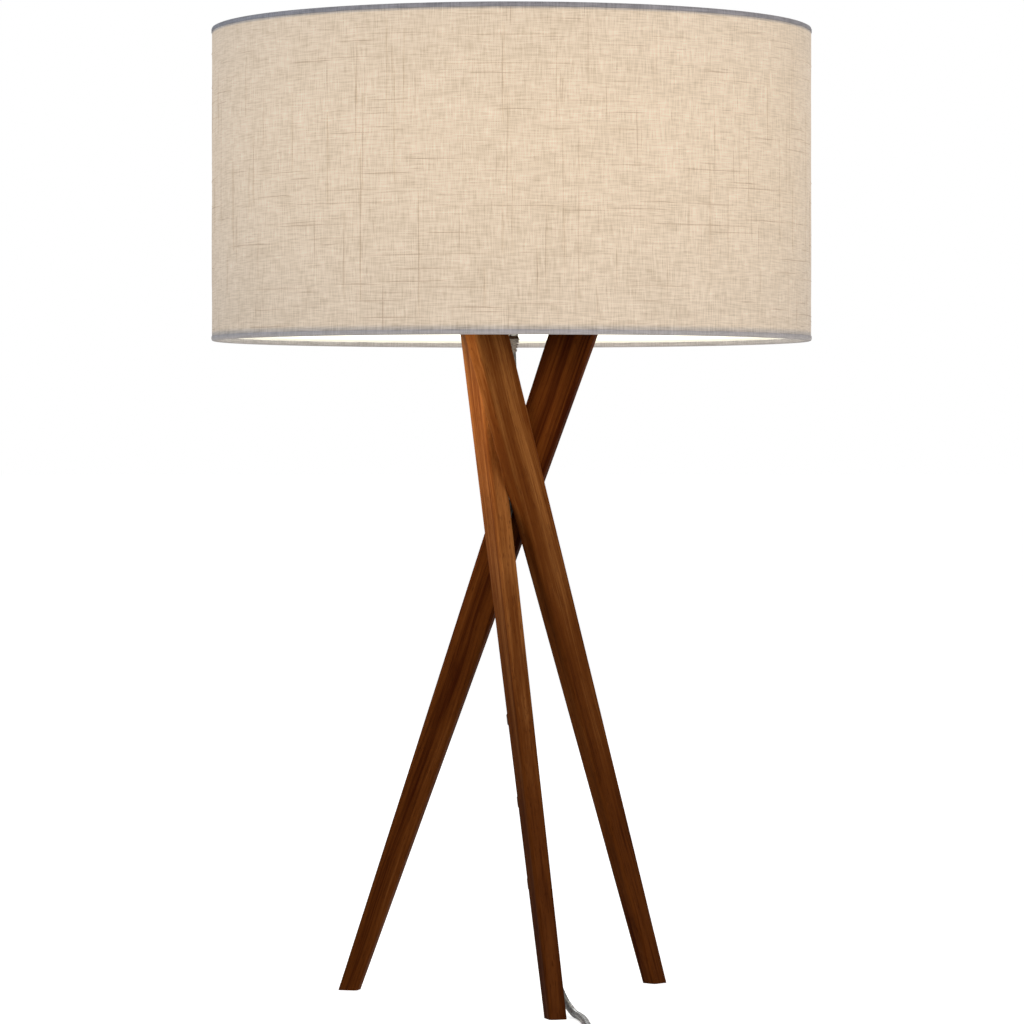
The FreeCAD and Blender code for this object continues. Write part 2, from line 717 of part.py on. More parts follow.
def cord_tie():
    """A band round the bundle of turns, at the coil's left side."""
    ring = turned(coil_section(TIE_THICKNESS)).cut(turned(coil_section(0.0)))
    reach = 2 * COIL_MIDDLE_RADIUS
    slot = Part.makeBox(reach, TIE_WIDTH, 40, V(-reach, -TIE_WIDTH / 2, -10))
    tie = ring.common(slot)
    tie.translate(COIL_CENTRE)
    return tie


def plug_frame():
    """Where the tail ends, and the level direction in which the plug lies."""
    end = TAIL_ROUTE[-1]
    way = end - TAIL_ROUTE[-2]
    way.z = 0
    way.normalize()
    return end, way


def plug_body():
    """A flat moulded two-pin plug with a tapered strain relief, lying on the floor."""
    end, way = plug_frame()
    across = V(0, 0, 1).cross(way)
    middle = V(end.x, end.y, PLUG_THICKNESS / 2) + way * (RELIEF_LENGTH + PLUG_LENGTH / 2)
    centre = middle - way * (PLUG_LENGTH / 2)
    outline = section(centre, across, V(0, 0, 1), PLUG_WIDTH * 0.62, PLUG_THICKNESS * 0.86, 3.0)
    shoulder = section(centre + way * 9, across, V(0, 0, 1), PLUG_WIDTH, PLUG_THICKNESS, 3.4)
    front = section(centre + way * PLUG_LENGTH, across, V(0, 0, 1), PLUG_WIDTH, PLUG_THICKNESS, 3.4)
    body = Part.makeLoft([outline, shoulder], True, True).fuse(Part.makeLoft([shoulder, front], True, True))
    small = Part.Wire([Part.Circle(end, way, RELIEF_END_DIAMETER / 2).toShape()])
    large = Part.Wire([Part.Circle(centre + way * 1.0, way, PLUG_THICKNESS * 0.4).toShape()])
    body = body.fuse(Part.makeLoft([small, large], True, True))
    return body.removeSplitter()


def plug_blades():
    end, way = plug_frame()
    across = V(0, 0, 1).cross(way)
    face = V(end.x, end.y, PLUG_THICKNESS / 2) + way * (RELIEF_LENGTH + PLUG_LENGTH)
    blades = []
    for hand in (-1, 1):
        root = face + across * (hand * BLADE_SPACING / 2 - BLADE_THICKNESS / 2) - V(0, 0, BLADE_WIDTH / 2)
        ring = [root, root + across * BLADE_THICKNESS]
        ring += [ring[1] + V(0, 0, BLADE_WIDTH), root + V(0, 0, BLADE_WIDTH), root]
        blade = Part.Face(Part.makePolygon(ring)).extrude(way * BLADE_LENGTH)
        hole = rod(root + way * 13 + V(0, 0, BLADE_WIDTH / 2) - across * 5,
                   root + way * 13 + V(0, 0, BLADE_WIDTH / 2) + across * 5, 3.0)
        blades.append(blade.cut(hole))
    return compound(blades)


# ---------------------------------------------------------------- build
def legs():
    pins = [waist_pin(i) for i in range(3)]
    screws = [leg_screw(i) for i in range(3)]
    made = {}
    for i, name in enumerate(("leg_front", "leg_right", "leg_left")):
        leg = leg_blank(i)
        for piece in pins + screws:
            leg = leg.cut(piece)
        made[name] = leg
    plate = hub_plate()
    for screw in screws:
        plate = plate.cut(screw)
    made["hub_plate"] = plate
    made["hub_screws"] = compound(screws)
    made["waist_pins"] = compound(pins)
    return made


def stem():
    nut = NIPPLE_DIAMETER
    return {
        "nipple": tube(NIPPLE_DIAMETER / 2, NIPPLE_BORE / 2, NIPPLE_BOTTOM, NIPPLE_TOP),
        "lower_lock_nut": hexagon(NUT_ACROSS_FLATS, HUB_UNDERSIDE - NUT_THICKNESS, HUB_UNDERSIDE, nut),
        "upper_lock_nut": hexagon(NUT_ACROSS_FLATS, SADDLE_TOP, CAP_BOTTOM, nut),
        "cord_bushing": cord_bushing(),
        "harp_saddle": harp_saddle(),
        "harp": harp(),
        "harp_sleeves": harp_sleeves(),
    }


def socket():
    return {
        "socket_cap": socket_cap(),
        "socket_shell": socket_shell(),
        "socket_sleeve": socket_sleeve(),
        "switch_body": switch_body(),
        "terminal_screws": terminal_screws(),
        "lead_wires": lead_wires(),
        "screw_shell": screw_shell(),
        "centre_contact": centre_contact(),
        "switch_shaft": switch_shaft(),
        "switch_knob": switch_knob(),
    }


def bulb():
    return {
        "bulb_glass": bulb_glass(),
        "bulb_cap": bulb_cap(),
        "bulb_insulator": bulb_insulator(),
        "bulb_tip": bulb_tip(),
        "bulb_light_guide": bulb_light_guide(),
    }


def shade():
    top_ring = ring_wire(TOP_RING_HEIGHT)
    return {
        "shade_cover": shade_wall(SHADE_RADIUS, FABRIC_THICKNESS),
        "shade_liner": shade_wall(LINER_RADIUS, LINER_THICKNESS),
        "top_trim": edge_trim(SHADE_TOP, -1),
        "bottom_trim": edge_trim(SHADE_BOTTOM, 1),
        "top_ring": top_ring,
        "bottom_ring": ring_wire(BOTTOM_RING_HEIGHT),
        "spider": spider(top_ring),
        "finial": finial(),
    }


def cord():
    return {
        "cord_clips": compound([cord_clip(run) for run in CLIPPED_RUNS]),
        "cord": swept(CORD_ROUTE, CORD_DIAMETER, "cord"),
        "cord_coil": cord_coil(),
        "cord_tie": cord_tie(),
        "cord_tail": swept(TAIL_ROUTE, CORD_DIAMETER, "cord_tail"),
        "plug_body": plug_body(),
        "plug_blades": plug_blades(),
    }


def main():
    os.makedirs("parts", exist_ok=True)
    made = {}
    for group in (legs, stem, socket, bulb, shade, cord):
        made.update(group())
    for name, shape in made.items():
        good = shape.isValid() and all(s.isClosed() for s in shape.Solids)
        print(name, len(shape.Solids), "solids", round(shape.Volume / 1000, 2), "cm3", "" if good else "BAD")
        shape.exportStep(f"parts/{name}.step")


main()
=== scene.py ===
# %% [markdown]
# # A table lamp on three crossed walnut legs
#
# This lesson dresses a finished CAD model of a table lamp in Blender: a linen drum shade,
# lit from inside, on three walnut boards that cross at the waist. The CAD model fixes every
# size and every moving part. Blender adds cloth, grain, metal, glass, a cord and the light.
# All lengths are in metres, +Z is up, and the front of the lamp looks along -Y.

import math
import random

import bpy
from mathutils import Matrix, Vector, noise


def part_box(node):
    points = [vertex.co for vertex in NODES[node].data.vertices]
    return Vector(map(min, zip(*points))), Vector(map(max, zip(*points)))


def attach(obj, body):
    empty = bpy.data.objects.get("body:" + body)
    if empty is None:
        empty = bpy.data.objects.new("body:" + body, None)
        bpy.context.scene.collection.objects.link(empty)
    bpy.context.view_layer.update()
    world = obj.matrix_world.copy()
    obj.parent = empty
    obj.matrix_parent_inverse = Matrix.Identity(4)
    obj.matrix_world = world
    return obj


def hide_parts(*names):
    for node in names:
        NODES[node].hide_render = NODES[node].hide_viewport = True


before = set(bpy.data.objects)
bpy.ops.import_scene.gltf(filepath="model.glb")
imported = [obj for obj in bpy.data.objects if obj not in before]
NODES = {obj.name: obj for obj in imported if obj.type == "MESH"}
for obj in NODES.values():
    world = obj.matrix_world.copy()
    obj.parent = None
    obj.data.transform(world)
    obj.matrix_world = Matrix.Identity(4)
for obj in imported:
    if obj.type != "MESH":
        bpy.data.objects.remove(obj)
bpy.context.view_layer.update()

# %% [markdown]
# ## The camera
#
# A product picture of a lamp is taken level, from far off, with a long lens, so the drum's
# rims look nearly straight. The camera stands a little above the middle of the lamp, and a
# small vertical shift frames the whole lamp without tilting the camera, which keeps the
# upright lines upright.

# %% Set up the camera
CAMERA_DISTANCE = 3.354
CAMERA_HEIGHT = 0.3976
FOCAL_LENGTH = 163.3  # millimetres
SENSOR_WIDTH = 36.0  # millimetres
camera = bpy.data.objects.new("camera", bpy.data.cameras.new("camera"))
bpy.context.scene.collection.objects.link(camera)
camera.location = (0.0, -CAMERA_DISTANCE, CAMERA_HEIGHT)
camera.rotation_euler = (math.radians(90), 0, 0)
camera.data.sensor_width = SENSOR_WIDTH
camera.data.lens = FOCAL_LENGTH
camera.data.shift_x = 0.0004
camera.data.shift_y = -0.0646
camera.data.clip_end = 200.0  # past the floor's far edge
bpy.context.scene.camera = camera
bpy.context.scene.view_settings.view_transform = "Standard"
print("camera at", tuple(round(v, 3) for v in camera.location))

# %% [markdown]
# ## The cord
#
# A table lamp has about 1.8 m of cord. It leaves the bushing under the hub, drops between
# the legs, is clipped behind the front leg and runs over the floor to a neat coil. A cord
# is one smooth line with a round section, so it is one NURBS curve with a bevel: a few
# listed control points give soft bends, and the coil's turns are more control points
# of the same curve, from a loop.

# %% The cord's route from the bushing to the coil
CORD_DIAMETER = 0.0055
CORD_LENGTH = 1.8
ON_FLOOR = CORD_DIAMETER / 2
ON_TIE = ON_FLOOR + 0.0007  # the coil lies on its tie
ROUTE = [
    (0.0, 0.0, 0.4748),
    (0.0006, 0.0001, 0.4600),
    (0.0018, 0.0002, 0.4360),
    (0.0018, 0.0002, 0.404),
    (0.0006, 0.0, 0.373),
    (-0.0012, 0.0008, 0.352),
    (-0.0066, 0.0042, 0.330),
    (-0.0056, -0.0010, 0.304),
    (-0.0038, -0.0122, 0.276),
    (-0.0035, -0.0343, 0.231),
    (0.0053, -0.0542, 0.175),
    (0.0112, -0.0761, 0.117),
    (0.0196, -0.0954, 0.063),
    (0.0300, -0.1000, 0.0286),
    (0.0356, -0.1075, 0.0122),
    (0.0430, -0.1222, ON_FLOOR),
    (0.0480, -0.1420, ON_FLOOR),
    (0.0510, -0.1740, ON_FLOOR),
    (0.0525, -0.2140, ON_FLOOR),
    (0.0585, -0.2560, ON_FLOOR),
    (0.0615, -0.2920, ON_TIE),
]
TAIL = [
    (0.0180, -0.3412, 0.0089),
    (0.0, -0.3418, 0.0066),
    (-0.0180, -0.3396, 0.0035),
    (-0.0360, -0.3354, 0.0046),
]
print("route points", len(ROUTE), "tail points", len(TAIL))

# %% [markdown]
# The coil lies in two layers. Three turns go round on the floor, each inside the last; the
# cord then climbs and comes out again over them. Each row below is a place along the coil,
# counted in turns, with the lane's radius and height there. Between rows the cord changes
# lane with a gentle ease, as a hand-wound coil does.

# %% Wind the coil
COIL_CENTRE = (0.024, -0.303)
POINTS_PER_TURN = 16
OUTER, MIDDLE, INNER = 0.03815, 0.03260, 0.02705  # the lanes' radii
LOWER, UPPER = ON_TIE, ON_TIE + CORD_DIAMETER  # the layers' heights
LANES = [
    (0.00, OUTER, LOWER),
    (0.70, OUTER, LOWER),
    (1.00, MIDDLE, LOWER),
    (1.70, MIDDLE, LOWER),
    (2.00, INNER, LOWER),
    (2.50, INNER, LOWER),
    (2.90, INNER, UPPER),
    (3.25, INNER, UPPER),
    (3.50, MIDDLE, UPPER),
    (4.25, MIDDLE, UPPER),
    (4.50, OUTER, UPPER),
    (5.25, OUTER, UPPER),
]


def ease(t):
    """0 to 1 with a soft start and a soft end."""
    t = min(max(t, 0.0), 1.0)
    return t * t * (3 - 2 * t)


def lane_at(turn):
    """Radius and height of the coil at a place along it, counted in turns."""
    for (a, r0, z0), (b, r1, z1) in zip(LANES, LANES[1:]):
        if turn <= b:
            share = ease((turn - a) / (b - a))
            return r0 + (r1 - r0) * share, z0 + (z1 - z0) * share
    return LANES[-1][1:]


coil = []
outside_the_bend = 1 / math.cos(math.pi / POINTS_PER_TURN)  # control points lie outside their curve
for k in range(int(LANES[-1][0] * POINTS_PER_TURN) + 1):
    turn = k / POINTS_PER_TURN
    radius, height = lane_at(turn)
    angle = -2 * math.pi * turn  # clockwise, seen from above
    reach = radius * outside_the_bend
    x = COIL_CENTRE[0] + reach * math.cos(angle)
    y = COIL_CENTRE[1] + reach * math.sin(angle)
    coil.append((x, y, height))
print("coil points", len(coil))

# %% Make the cord's curve
line = bpy.data.curves.new("lamp_cord", "CURVE")
line.dimensions = "3D"
line.bevel_depth = 1.0  # the tube's radius is this times each point's own radius
line.bevel_resolution = 4
line.resolution_u = 8
line.use_fill_caps = True
spline = line.splines.new("NURBS")
points = ROUTE + coil + TAIL
spline.points.add(len(points) - 1)
for point, place in zip(spline.points, points):
    point.co = (*place, 1.0)
    point.radius = CORD_DIAMETER / 2
spline.order_u = 3
spline.use_endpoint_u = True
lamp_cord = bpy.data.objects.new("lamp_cord", line)
bpy.context.scene.collection.objects.link(lamp_cord)
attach(lamp_cord, "stand")
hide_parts("cord", "cord_coil", "cord_tail")
print("control points in the cord", len(points))

# %% [markdown]
# ## Building materials from nodes
#
# Every finish here is procedural. Small helpers keep the node code short: `put` adds a node
# and wires it, `reckon` adds a sum, `patches` adds a random pattern and `feed` wires results
# into a shader. A finish that only one piece has is built in its own material; an effect
# that several finishes share becomes a node group, which is built once and placed with
# other values in each of them.

# %% Helpers that add nodes


def put(tree, kind, sockets=None, **settings):
    """Adds a node. sockets maps an input's name or number to a value or another node's output."""
    made = tree.nodes.new("ShaderNode" + kind)
    for name, value in settings.items():
        setattr(made, name, value)
    for key, value in (sockets or {}).items():
        if isinstance(value, bpy.types.NodeSocket):
            tree.links.new(value, made.inputs[key])
        else:
            made.inputs[key].default_value = value
    return made


def reckon(tree, operation, *values):
    """The answer of a Math node."""
    return put(tree, "Math", dict(enumerate(values)), operation=operation).outputs[0]


def fade(tree, value, low, high, start=0.0, end=1.0):
    """start below low, end above high, and a smooth change between."""
    sockets = {0: value, 1: low, 2: high, 3: start, 4: end}
    return put(tree, "MapRange", sockets, interpolation_type="SMOOTHSTEP").outputs[0]


def cloud(tree, vector, scale=1.0, detail=2.0, rough=0.5):
    """A soft random value about 0.5."""
    sockets = {"Vector": vector, "Scale": scale, "Detail": detail, "Roughness": rough}
    return put(tree, "TexNoise", sockets).outputs[0]


def between(tree, share, a, b, kind="MIX"):
    """Colour a where share is 0 and colour b where it is 1."""
    sockets = {0: share, 6: a, 7: b}
    return put(tree, "Mix", sockets, data_type="RGBA", blend_type=kind).outputs[2]


def stretched(tree, vector, x, y, z, shift=0.0):
    """The same place, measured in units of x, y and z metres."""
    split = put(tree, "SeparateXYZ", {0: vector})
    parts = [reckon(tree, "DIVIDE", split.outputs[i], size) for i, size in enumerate((x, y, z))]
    parts[2] = reckon(tree, "ADD", parts[2], shift)
    return put(tree, "CombineXYZ", dict(enumerate(parts))).outputs[0]


def patches(tree, vector, x, y, z=1.0, shift=0.0, detail=2.0, rough=0.5):
    """A soft random value about 0.5 that changes over x, y and z metres."""
    return cloud(tree, stretched(tree, vector, x, y, z, shift), detail=detail, rough=rough)


def as_grey(tree, value):
    """The grey with this value."""
    return put(tree, "CombineColor", {0: value, 1: value, 2: value}).outputs[0]


def times(tree, a, b):
    """Two colours multiplied."""
    return between(tree, 1.0, a, b, "MULTIPLY")


def feed(node, **results):
    """Wires results into a node; underscores in a socket's name stand for spaces."""
    for key, result in results.items():
        node.id_data.links.new(result, node.inputs[key.replace("_", " ")])


def new_group(name, inputs, outputs):
    """A node group with named sockets, as (group, its input node, its output node)."""
    group = bpy.data.node_groups.new(name, "ShaderNodeTree")
    for label, kind in inputs.items():
        group.interface.new_socket(name=label, in_out="INPUT", socket_type="NodeSocket" + kind)
    for label, kind in outputs.items():
        group.interface.new_socket(name=label, in_out="OUTPUT", socket_type="NodeSocket" + kind)
    return group, group.nodes.new("NodeGroupInput"), group.nodes.new("NodeGroupOutput")


def use(tree, group, **sockets):
    """Places a node group; underscores in a socket's name stand for spaces."""
    made = tree.nodes.new("ShaderNodeGroup")
    made.node_tree = group
    for key, value in sockets.items():
        name = key.replace("_", " ")
        if isinstance(value, bpy.types.NodeSocket):
            tree.links.new(value, made.inputs[name])
        else:
            made.inputs[name].default_value = value
    return made.outputs


def new_finish(name, **constants):
    """A material with a Principled shader, as (material, its tree, the shader)."""
    material = bpy.data.materials.new(name)
    material.use_nodes = True
    tree = material.node_tree
    shader = tree.nodes["Principled BSDF"]
    for key, value in constants.items():
        shader.inputs[key.replace("_", " ")].default_value = value
    return material, tree, shader


def own_place(tree):
    """Where a point is on the object, in the lamp's own frame."""
    return put(tree, "TexCoord").outputs["Object"]


def raise_surface(tree, shader, height, distance, strength=1.0):
    """Bump from a height of 0 to 1 that stands for a real distance."""
    bump = put(tree, "Bump", {"Height": height, "Distance": distance, "Strength": strength})
    feed(shader, Normal=bump.outputs[0])


def dress(name, material):
    """Gives a CAD node its finish."""
    node = NODES[name]
    if not node.material_slots:
        node.data.materials.append(material)
    for slot in node.material_slots:
        slot.material = material


print("helpers ready")

# %% [markdown]
# ## Where a thread lies on the drum
#
# Cloth on a drum runs round it and up it. This helper turns a place in space into metres
# round the drum, from the front, and metres of height. Every pattern on the shade is then
# drawn as if the cloth lay flat on a table.

# %% Measure along the drum
SHADE_LOW, SHADE_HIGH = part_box("shade_cover")
SHADE_RADIUS = SHADE_HIGH.x


def along_drum(tree):
    """Metres round the drum and metres of height, for any finish on the shade."""
    split = put(tree, "SeparateXYZ", {0: own_place(tree)})
    backward = reckon(tree, "MULTIPLY", split.outputs[1], -1.0)
    turned_by = reckon(tree, "ARCTAN2", split.outputs[0], backward)
    around = reckon(tree, "MULTIPLY", turned_by, SHADE_RADIUS)
    return put(tree, "CombineXYZ", {0: around, 1: split.outputs[2]}).outputs[0]


print("shade radius", round(SHADE_RADIUS, 4))

# %% [markdown]
# ## Linen
#
# Linen yarn is spun unevenly. Every few centimetres a thread swells into a slub, a long
# thin place that lets less light through. A stretched noise gives just that: it is long
# along the thread and a thread or two wide across it, and only its peaks are kept. The
# same group makes the plain weave and the small unevenness of each thread. Four finishes
# use it: the cover, the raised slubs, the edge tape and the liner.

# %% Group: linen_threads
THREAD = 0.00062  # from one thread to the next
SLUB_KINDS = [  # size round the drum and up it, the pattern's shift, where peaks start, strength
    (0.060, 0.0014, 31.0, 0.74, 1.0),
    (0.019, 0.0010, 57.0, 0.72, 0.7),
    (0.0014, 0.052, 83.0, 0.74, 1.0),
    (0.0010, 0.015, 12.0, 0.72, 0.7),
]
SLUB_PEAK = 0.86
linen_threads, given, gives = new_group(
    "linen_threads",
    {"Flat": "Vector", "Slubs": "Float"},
    {"Tone": "Float", "Slub": "Float", "Relief": "Float"},
)
tree = linen_threads
flat = given.outputs["Flat"]
weft = patches(tree, flat, 0.011, 0.0009, shift=1.7, detail=1.0)
warp = patches(tree, flat, 0.0009, 0.011, shift=9.2, detail=1.0)
blotch = patches(tree, flat, 0.016, 0.013, shift=4.4)
thickest = 0.0
for around, up, shift, start, strength in SLUB_KINDS:
    peaks = patches(tree, flat, around, up, shift=shift, detail=0.0)
    kind = fade(tree, peaks, start, SLUB_PEAK, 0.0, strength)
    thickest = reckon(tree, "MAXIMUM", thickest, kind)
slub = reckon(tree, "MULTIPLY", thickest, given.outputs["Slubs"])
split = put(tree, "SeparateXYZ", {0: flat})
over = reckon(tree, "SINE", reckon(tree, "MULTIPLY", split.outputs[0], math.pi / THREAD))
under = reckon(tree, "SINE", reckon(tree, "MULTIPLY", split.outputs[1], math.pi / THREAD))
weave = reckon(tree, "MULTIPLY", over, under)
uneven = reckon(tree, "ADD", weft, warp)
tone = reckon(tree, "MULTIPLY_ADD", uneven, 0.72, 0.13)
tone = reckon(tree, "MULTIPLY_ADD", blotch, 0.32, tone)
tone = reckon(tree, "MULTIPLY_ADD", weave, 0.02, tone)
relief = reckon(tree, "MULTIPLY_ADD", weave, 0.22, reckon(tree, "MULTIPLY", uneven, 0.25))
relief = reckon(tree, "MULTIPLY_ADD", slub, 0.5, relief)
feed(gives, Tone=tone, Slub=slub, Relief=relief)
print("linen thread", THREAD)

# %% [markdown]
# ## The glow
#
# Light from the bulb falls off with distance, and it meets the drum more and more at a
# slant away from the bulb's height. Both together make the cover brightest level with the
# bulb. The glow is the same all round, because the bulb is on the drum's axis. Along both
# edges the wire ring and the tape's inner fold keep the light in, so the cloth goes grey.

# %% Group: drum_glow
RING_SHADOW = 0.0032
FADE_AT_BOTTOM = 0.0040
FADE_AT_TOP = 0.0015
LEFT_IN_SHADOW = 0.3
BULB_LOW, BULB_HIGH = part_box("bulb_glass")
BULB_CENTRE = BULB_HIGH.z - (BULB_HIGH.x - BULB_LOW.x) / 2
drum_glow, given, gives = new_group(
    "drum_glow", {"Flat": "Vector", "Evenness": "Float"}, {"Glow": "Float"}
)
tree = drum_glow
height = put(tree, "SeparateXYZ", {0: given.outputs["Flat"]}).outputs[1]
drop = reckon(tree, "DIVIDE", reckon(tree, "SUBTRACT", height, BULB_CENTRE), SHADE_RADIUS)
slant = reckon(tree, "MULTIPLY_ADD", drop, drop, 1.0)
direct = reckon(tree, "POWER", slant, -1.5)
rest = reckon(tree, "SUBTRACT", 1.0, direct)
glow = reckon(tree, "MULTIPLY_ADD", rest, given.outputs["Evenness"], direct)
dark_below = SHADE_LOW.z + RING_SHADOW
dark_above = SHADE_HIGH.z - RING_SHADOW
clear_of_bottom = fade(tree, height, dark_below, dark_below + FADE_AT_BOTTOM)
clear_of_top = fade(tree, height, dark_above, dark_above - FADE_AT_TOP)
open_cloth = reckon(tree, "MULTIPLY", clear_of_bottom, clear_of_top)
open_cloth = reckon(tree, "MULTIPLY_ADD", open_cloth, 1 - LEFT_IN_SHADOW, LEFT_IN_SHADOW)
feed(gives, Glow=reckon(tree, "MULTIPLY", glow, open_cloth))
print("bulb centre", round(BULB_CENTRE, 4))

# %% [markdown]
# The cover's own colour is a pale flax. What the bulb sends through it is added as
# emission, warm and uneven: slubs and thick threads hold it back, so they show as cool
# grey lines in a warm cloth. The fine weave shows more in what the cloth reflects.

# %% Finish: linen


def linen_finish(name, slubs, held_back, base, tint, glow_colour, strength):
    """Linen lit from behind. held_back is how much of the light its slubs keep in."""
    material, tree, shader = new_finish(
        name,
        Roughness=0.92,
        Sheen_Weight=0.3,
        Sheen_Roughness=0.6,
        Sheen_Tint=(0.80, 0.88, 1.0, 1),
        Specular_IOR_Level=0.15,
        Emission_Strength=strength,
    )
    flat = along_drum(tree)
    threads = use(tree, linen_threads, Flat=flat, Slubs=slubs)
    glow = use(tree, drum_glow, Flat=flat, Evenness=COVER_EVENNESS)["Glow"]
    tone = threads["Tone"]
    dim = reckon(tree, "SUBTRACT", 1.0, reckon(tree, "MULTIPLY", threads["Slub"], held_back))
    cloth = between(tree, threads["Slub"], base, tint)
    thin = reckon(tree, "MULTIPLY_ADD", tone, THREADS_IN_GLOW, 1 - THREADS_IN_GLOW)
    sent = reckon(tree, "MULTIPLY", reckon(tree, "MULTIPLY", glow, dim), thin)
    feed(
        shader,
        Base_Color=times(tree, cloth, as_grey(tree, tone)),
        Emission_Color=times(tree, as_grey(tree, sent), glow_colour),
    )
    raise_surface(tree, shader, threads["Relief"], 0.0002, 0.6)
    material.cycles.emission_sampling = "NONE"
    return material


COVER_EVENNESS = 0.48
THREADS_IN_GLOW = 0.25  # how much of the threads' unevenness shows in the glow
LINEN = (0.56, 0.515, 0.475, 1)
THICK_YARN = (0.43, 0.358, 0.32, 1)
WARM_LIGHT = (1.0, 0.69, 0.34, 1)
linen = linen_finish("linen", 1.0, 0.22, LINEN, THICK_YARN, WARM_LIGHT, 0.42)
linen_slub = linen_finish("linen_slub", 0.0, 0.0, THICK_YARN, THICK_YARN, WARM_LIGHT, 0.31)
print("linen finishes", linen.name, linen_slub.name)

# %% [markdown]
# ## The cover
#
# The cover is linen, laminated on film and rolled into a drum. A grid bent round the drum
# makes it, with a wander of a tenth of a millimetre, as glued cloth has. The biggest slubs
# stand proud of the cloth, so they are real, thin, pointed ridges and not only bump.

# %% Make the cover
COVER_AROUND = 720
COVER_UP = 112
COVER_INSET = 0.0002  # inside the tape's fold at both edges
COVER_LOW = SHADE_LOW.z + COVER_INSET
COVER_HIGH = SHADE_HIGH.z - COVER_INSET
COVER_UNDER = 0.00015  # the cover's mean surface lies this far inside the drum's
COVER_WANDER = 0.00012


def on_drum(around, height, radius):
    """A point at some metres round the drum from the front, as the flat cloth is measured."""
    angle = around / SHADE_RADIUS
    return (radius * math.sin(angle), -radius * math.cos(angle), height)


def wander(place, size, seed):
    """A smooth random number from -1 to 1 that changes over about size metres."""
    return noise.noise(Vector(place) / size + Vector((seed, seed * 1.7, seed * 2.3)))


def new_piece(name, verts, faces, material, body, smooth=True):
    """A mesh that rides on a body, with the finish it is given."""
    mesh = bpy.data.meshes.new(name)
    mesh.from_pydata(verts, [], faces)
    mesh.materials.append(material)
    mesh.polygons.foreach_set("use_smooth", [smooth] * len(faces))
    mesh.update()
    piece = bpy.data.objects.new(name, mesh)
    bpy.context.scene.collection.objects.link(piece)
    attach(piece, body)
    return piece


def closed_grid(around, up):
    """Faces of a grid that joins up with itself round the drum."""
    faces = []
    for i in range(around):
        j = (i + 1) % around
        for k in range(up):
            row, following = i * (up + 1), j * (up + 1)
            faces.append((row + k, following + k, following + k + 1, row + k + 1))
    return faces


verts = []
for i in range(COVER_AROUND):
    place = 2 * math.pi * SHADE_RADIUS * i / COVER_AROUND
    for k in range(COVER_UP + 1):
        height = COVER_LOW + (COVER_HIGH - COVER_LOW) * k / COVER_UP
        point = on_drum(place, height, SHADE_RADIUS)
        out = COVER_WANDER * wander(point, 0.035, 3.0)
        verts.append(on_drum(place, height, SHADE_RADIUS - COVER_UNDER + out))
faces = closed_grid(COVER_AROUND, COVER_UP)
linen_cover = new_piece("linen_cover", verts, faces, linen, "shade")
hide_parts("shade_cover")
print("cover vertices", len(verts))

# %% [markdown]
# A slub is a ridge with a crest and two feet that sink into the cloth, widest in the
# middle and drawn out to a point at each end. A seeded random choice scatters them, more
# of them round the drum than up it.

# %% Raise the slubs
SLUBS_AROUND = 190
SLUBS_UP = 140
STEPS = 14
LONGEST_SLUB = 0.105
FEET_SUNK = 0.00035
CLEAR_OF_TAPE = 0.006
chance = random.Random(7)


def slub_ridge(verts, faces, middle, height, length, half_width, proud, upright, bend):
    """Adds one slub to the lists."""
    start = len(verts)
    for i in range(STEPS + 1):
        t = i / STEPS
        swell = math.sin(math.pi * t) ** 0.7
        along = (t - 0.5) * length
        drift = bend * math.sin(math.pi * t * 1.3)
        for side in (-1, 0, 1):
            across = drift + side * half_width * swell
            out = proud * swell if side == 0 else -FEET_SUNK
            u, v = (across, along) if upright else (along, across)
            verts.append(on_drum(middle + u, height + v, SHADE_RADIUS + out))
    for i in range(STEPS):
        for side in (0, 1):
            a = start + 3 * i + side
            quad = (a, a + 3, a + 4, a + 1) if upright else (a, a + 1, a + 4, a + 3)
            faces.append(quad[::-1])


verts, faces = [], []
for count, upright in ((SLUBS_AROUND, False), (SLUBS_UP, True)):
    for _ in range(count):
        length = min(chance.lognormvariate(-3.05, 0.45), LONGEST_SLUB)
        half_width = chance.uniform(0.00028, 0.00062)
        proud = chance.uniform(0.00006, 0.00018)
        middle = chance.uniform(-math.pi, math.pi) * SHADE_RADIUS
        room = CLEAR_OF_TAPE + (length / 2 if upright else 0.0)
        height = chance.uniform(COVER_LOW + room, COVER_HIGH - room)
        bend = chance.uniform(-0.0004, 0.0004)
        slub_ridge(verts, faces, middle, height, length, half_width, proud, upright, bend)
linen_slubs = new_piece("linen_slubs", verts, faces, linen_slub, "shade")
print("slubs", SLUBS_AROUND + SLUBS_UP, "faces", len(faces))

# %% [markdown]
# Behind the lamp the cloth's end laps over its beginning and is glued. The lap is a thin
# strip that stands one cloth's thickness proud, with a hem that isn't quite straight.

# %% Lap the cover at the back
LAP_WIDTH = 0.012
LAP_ROWS = 90
LAP_INSET = 0.001  # the lap's ends stop short of the cover's
HEM_WANDER = 0.00025
HALF_WAY_ROUND = math.pi * SHADE_RADIUS
profile = [  # share of the lap's width, height over the drum
    (-0.5, -0.0004),
    (-0.5, 0.00035),
    (-0.42, 0.00045),
    (0.0, 0.00048),
    (0.42, 0.00045),
    (0.5, 0.00035),
    (0.5, -0.0004),
]
verts, faces = [], []
for k in range(LAP_ROWS + 1):
    height = COVER_LOW + LAP_INSET + (COVER_HIGH - COVER_LOW - 2 * LAP_INSET) * k / LAP_ROWS
    for share, out in profile:
        edge = HEM_WANDER * wander((share * 4, 0, height), 0.011, 5.0)
        place = HALF_WAY_ROUND + share * LAP_WIDTH + edge
        verts.append(on_drum(place, height, SHADE_RADIUS + out))
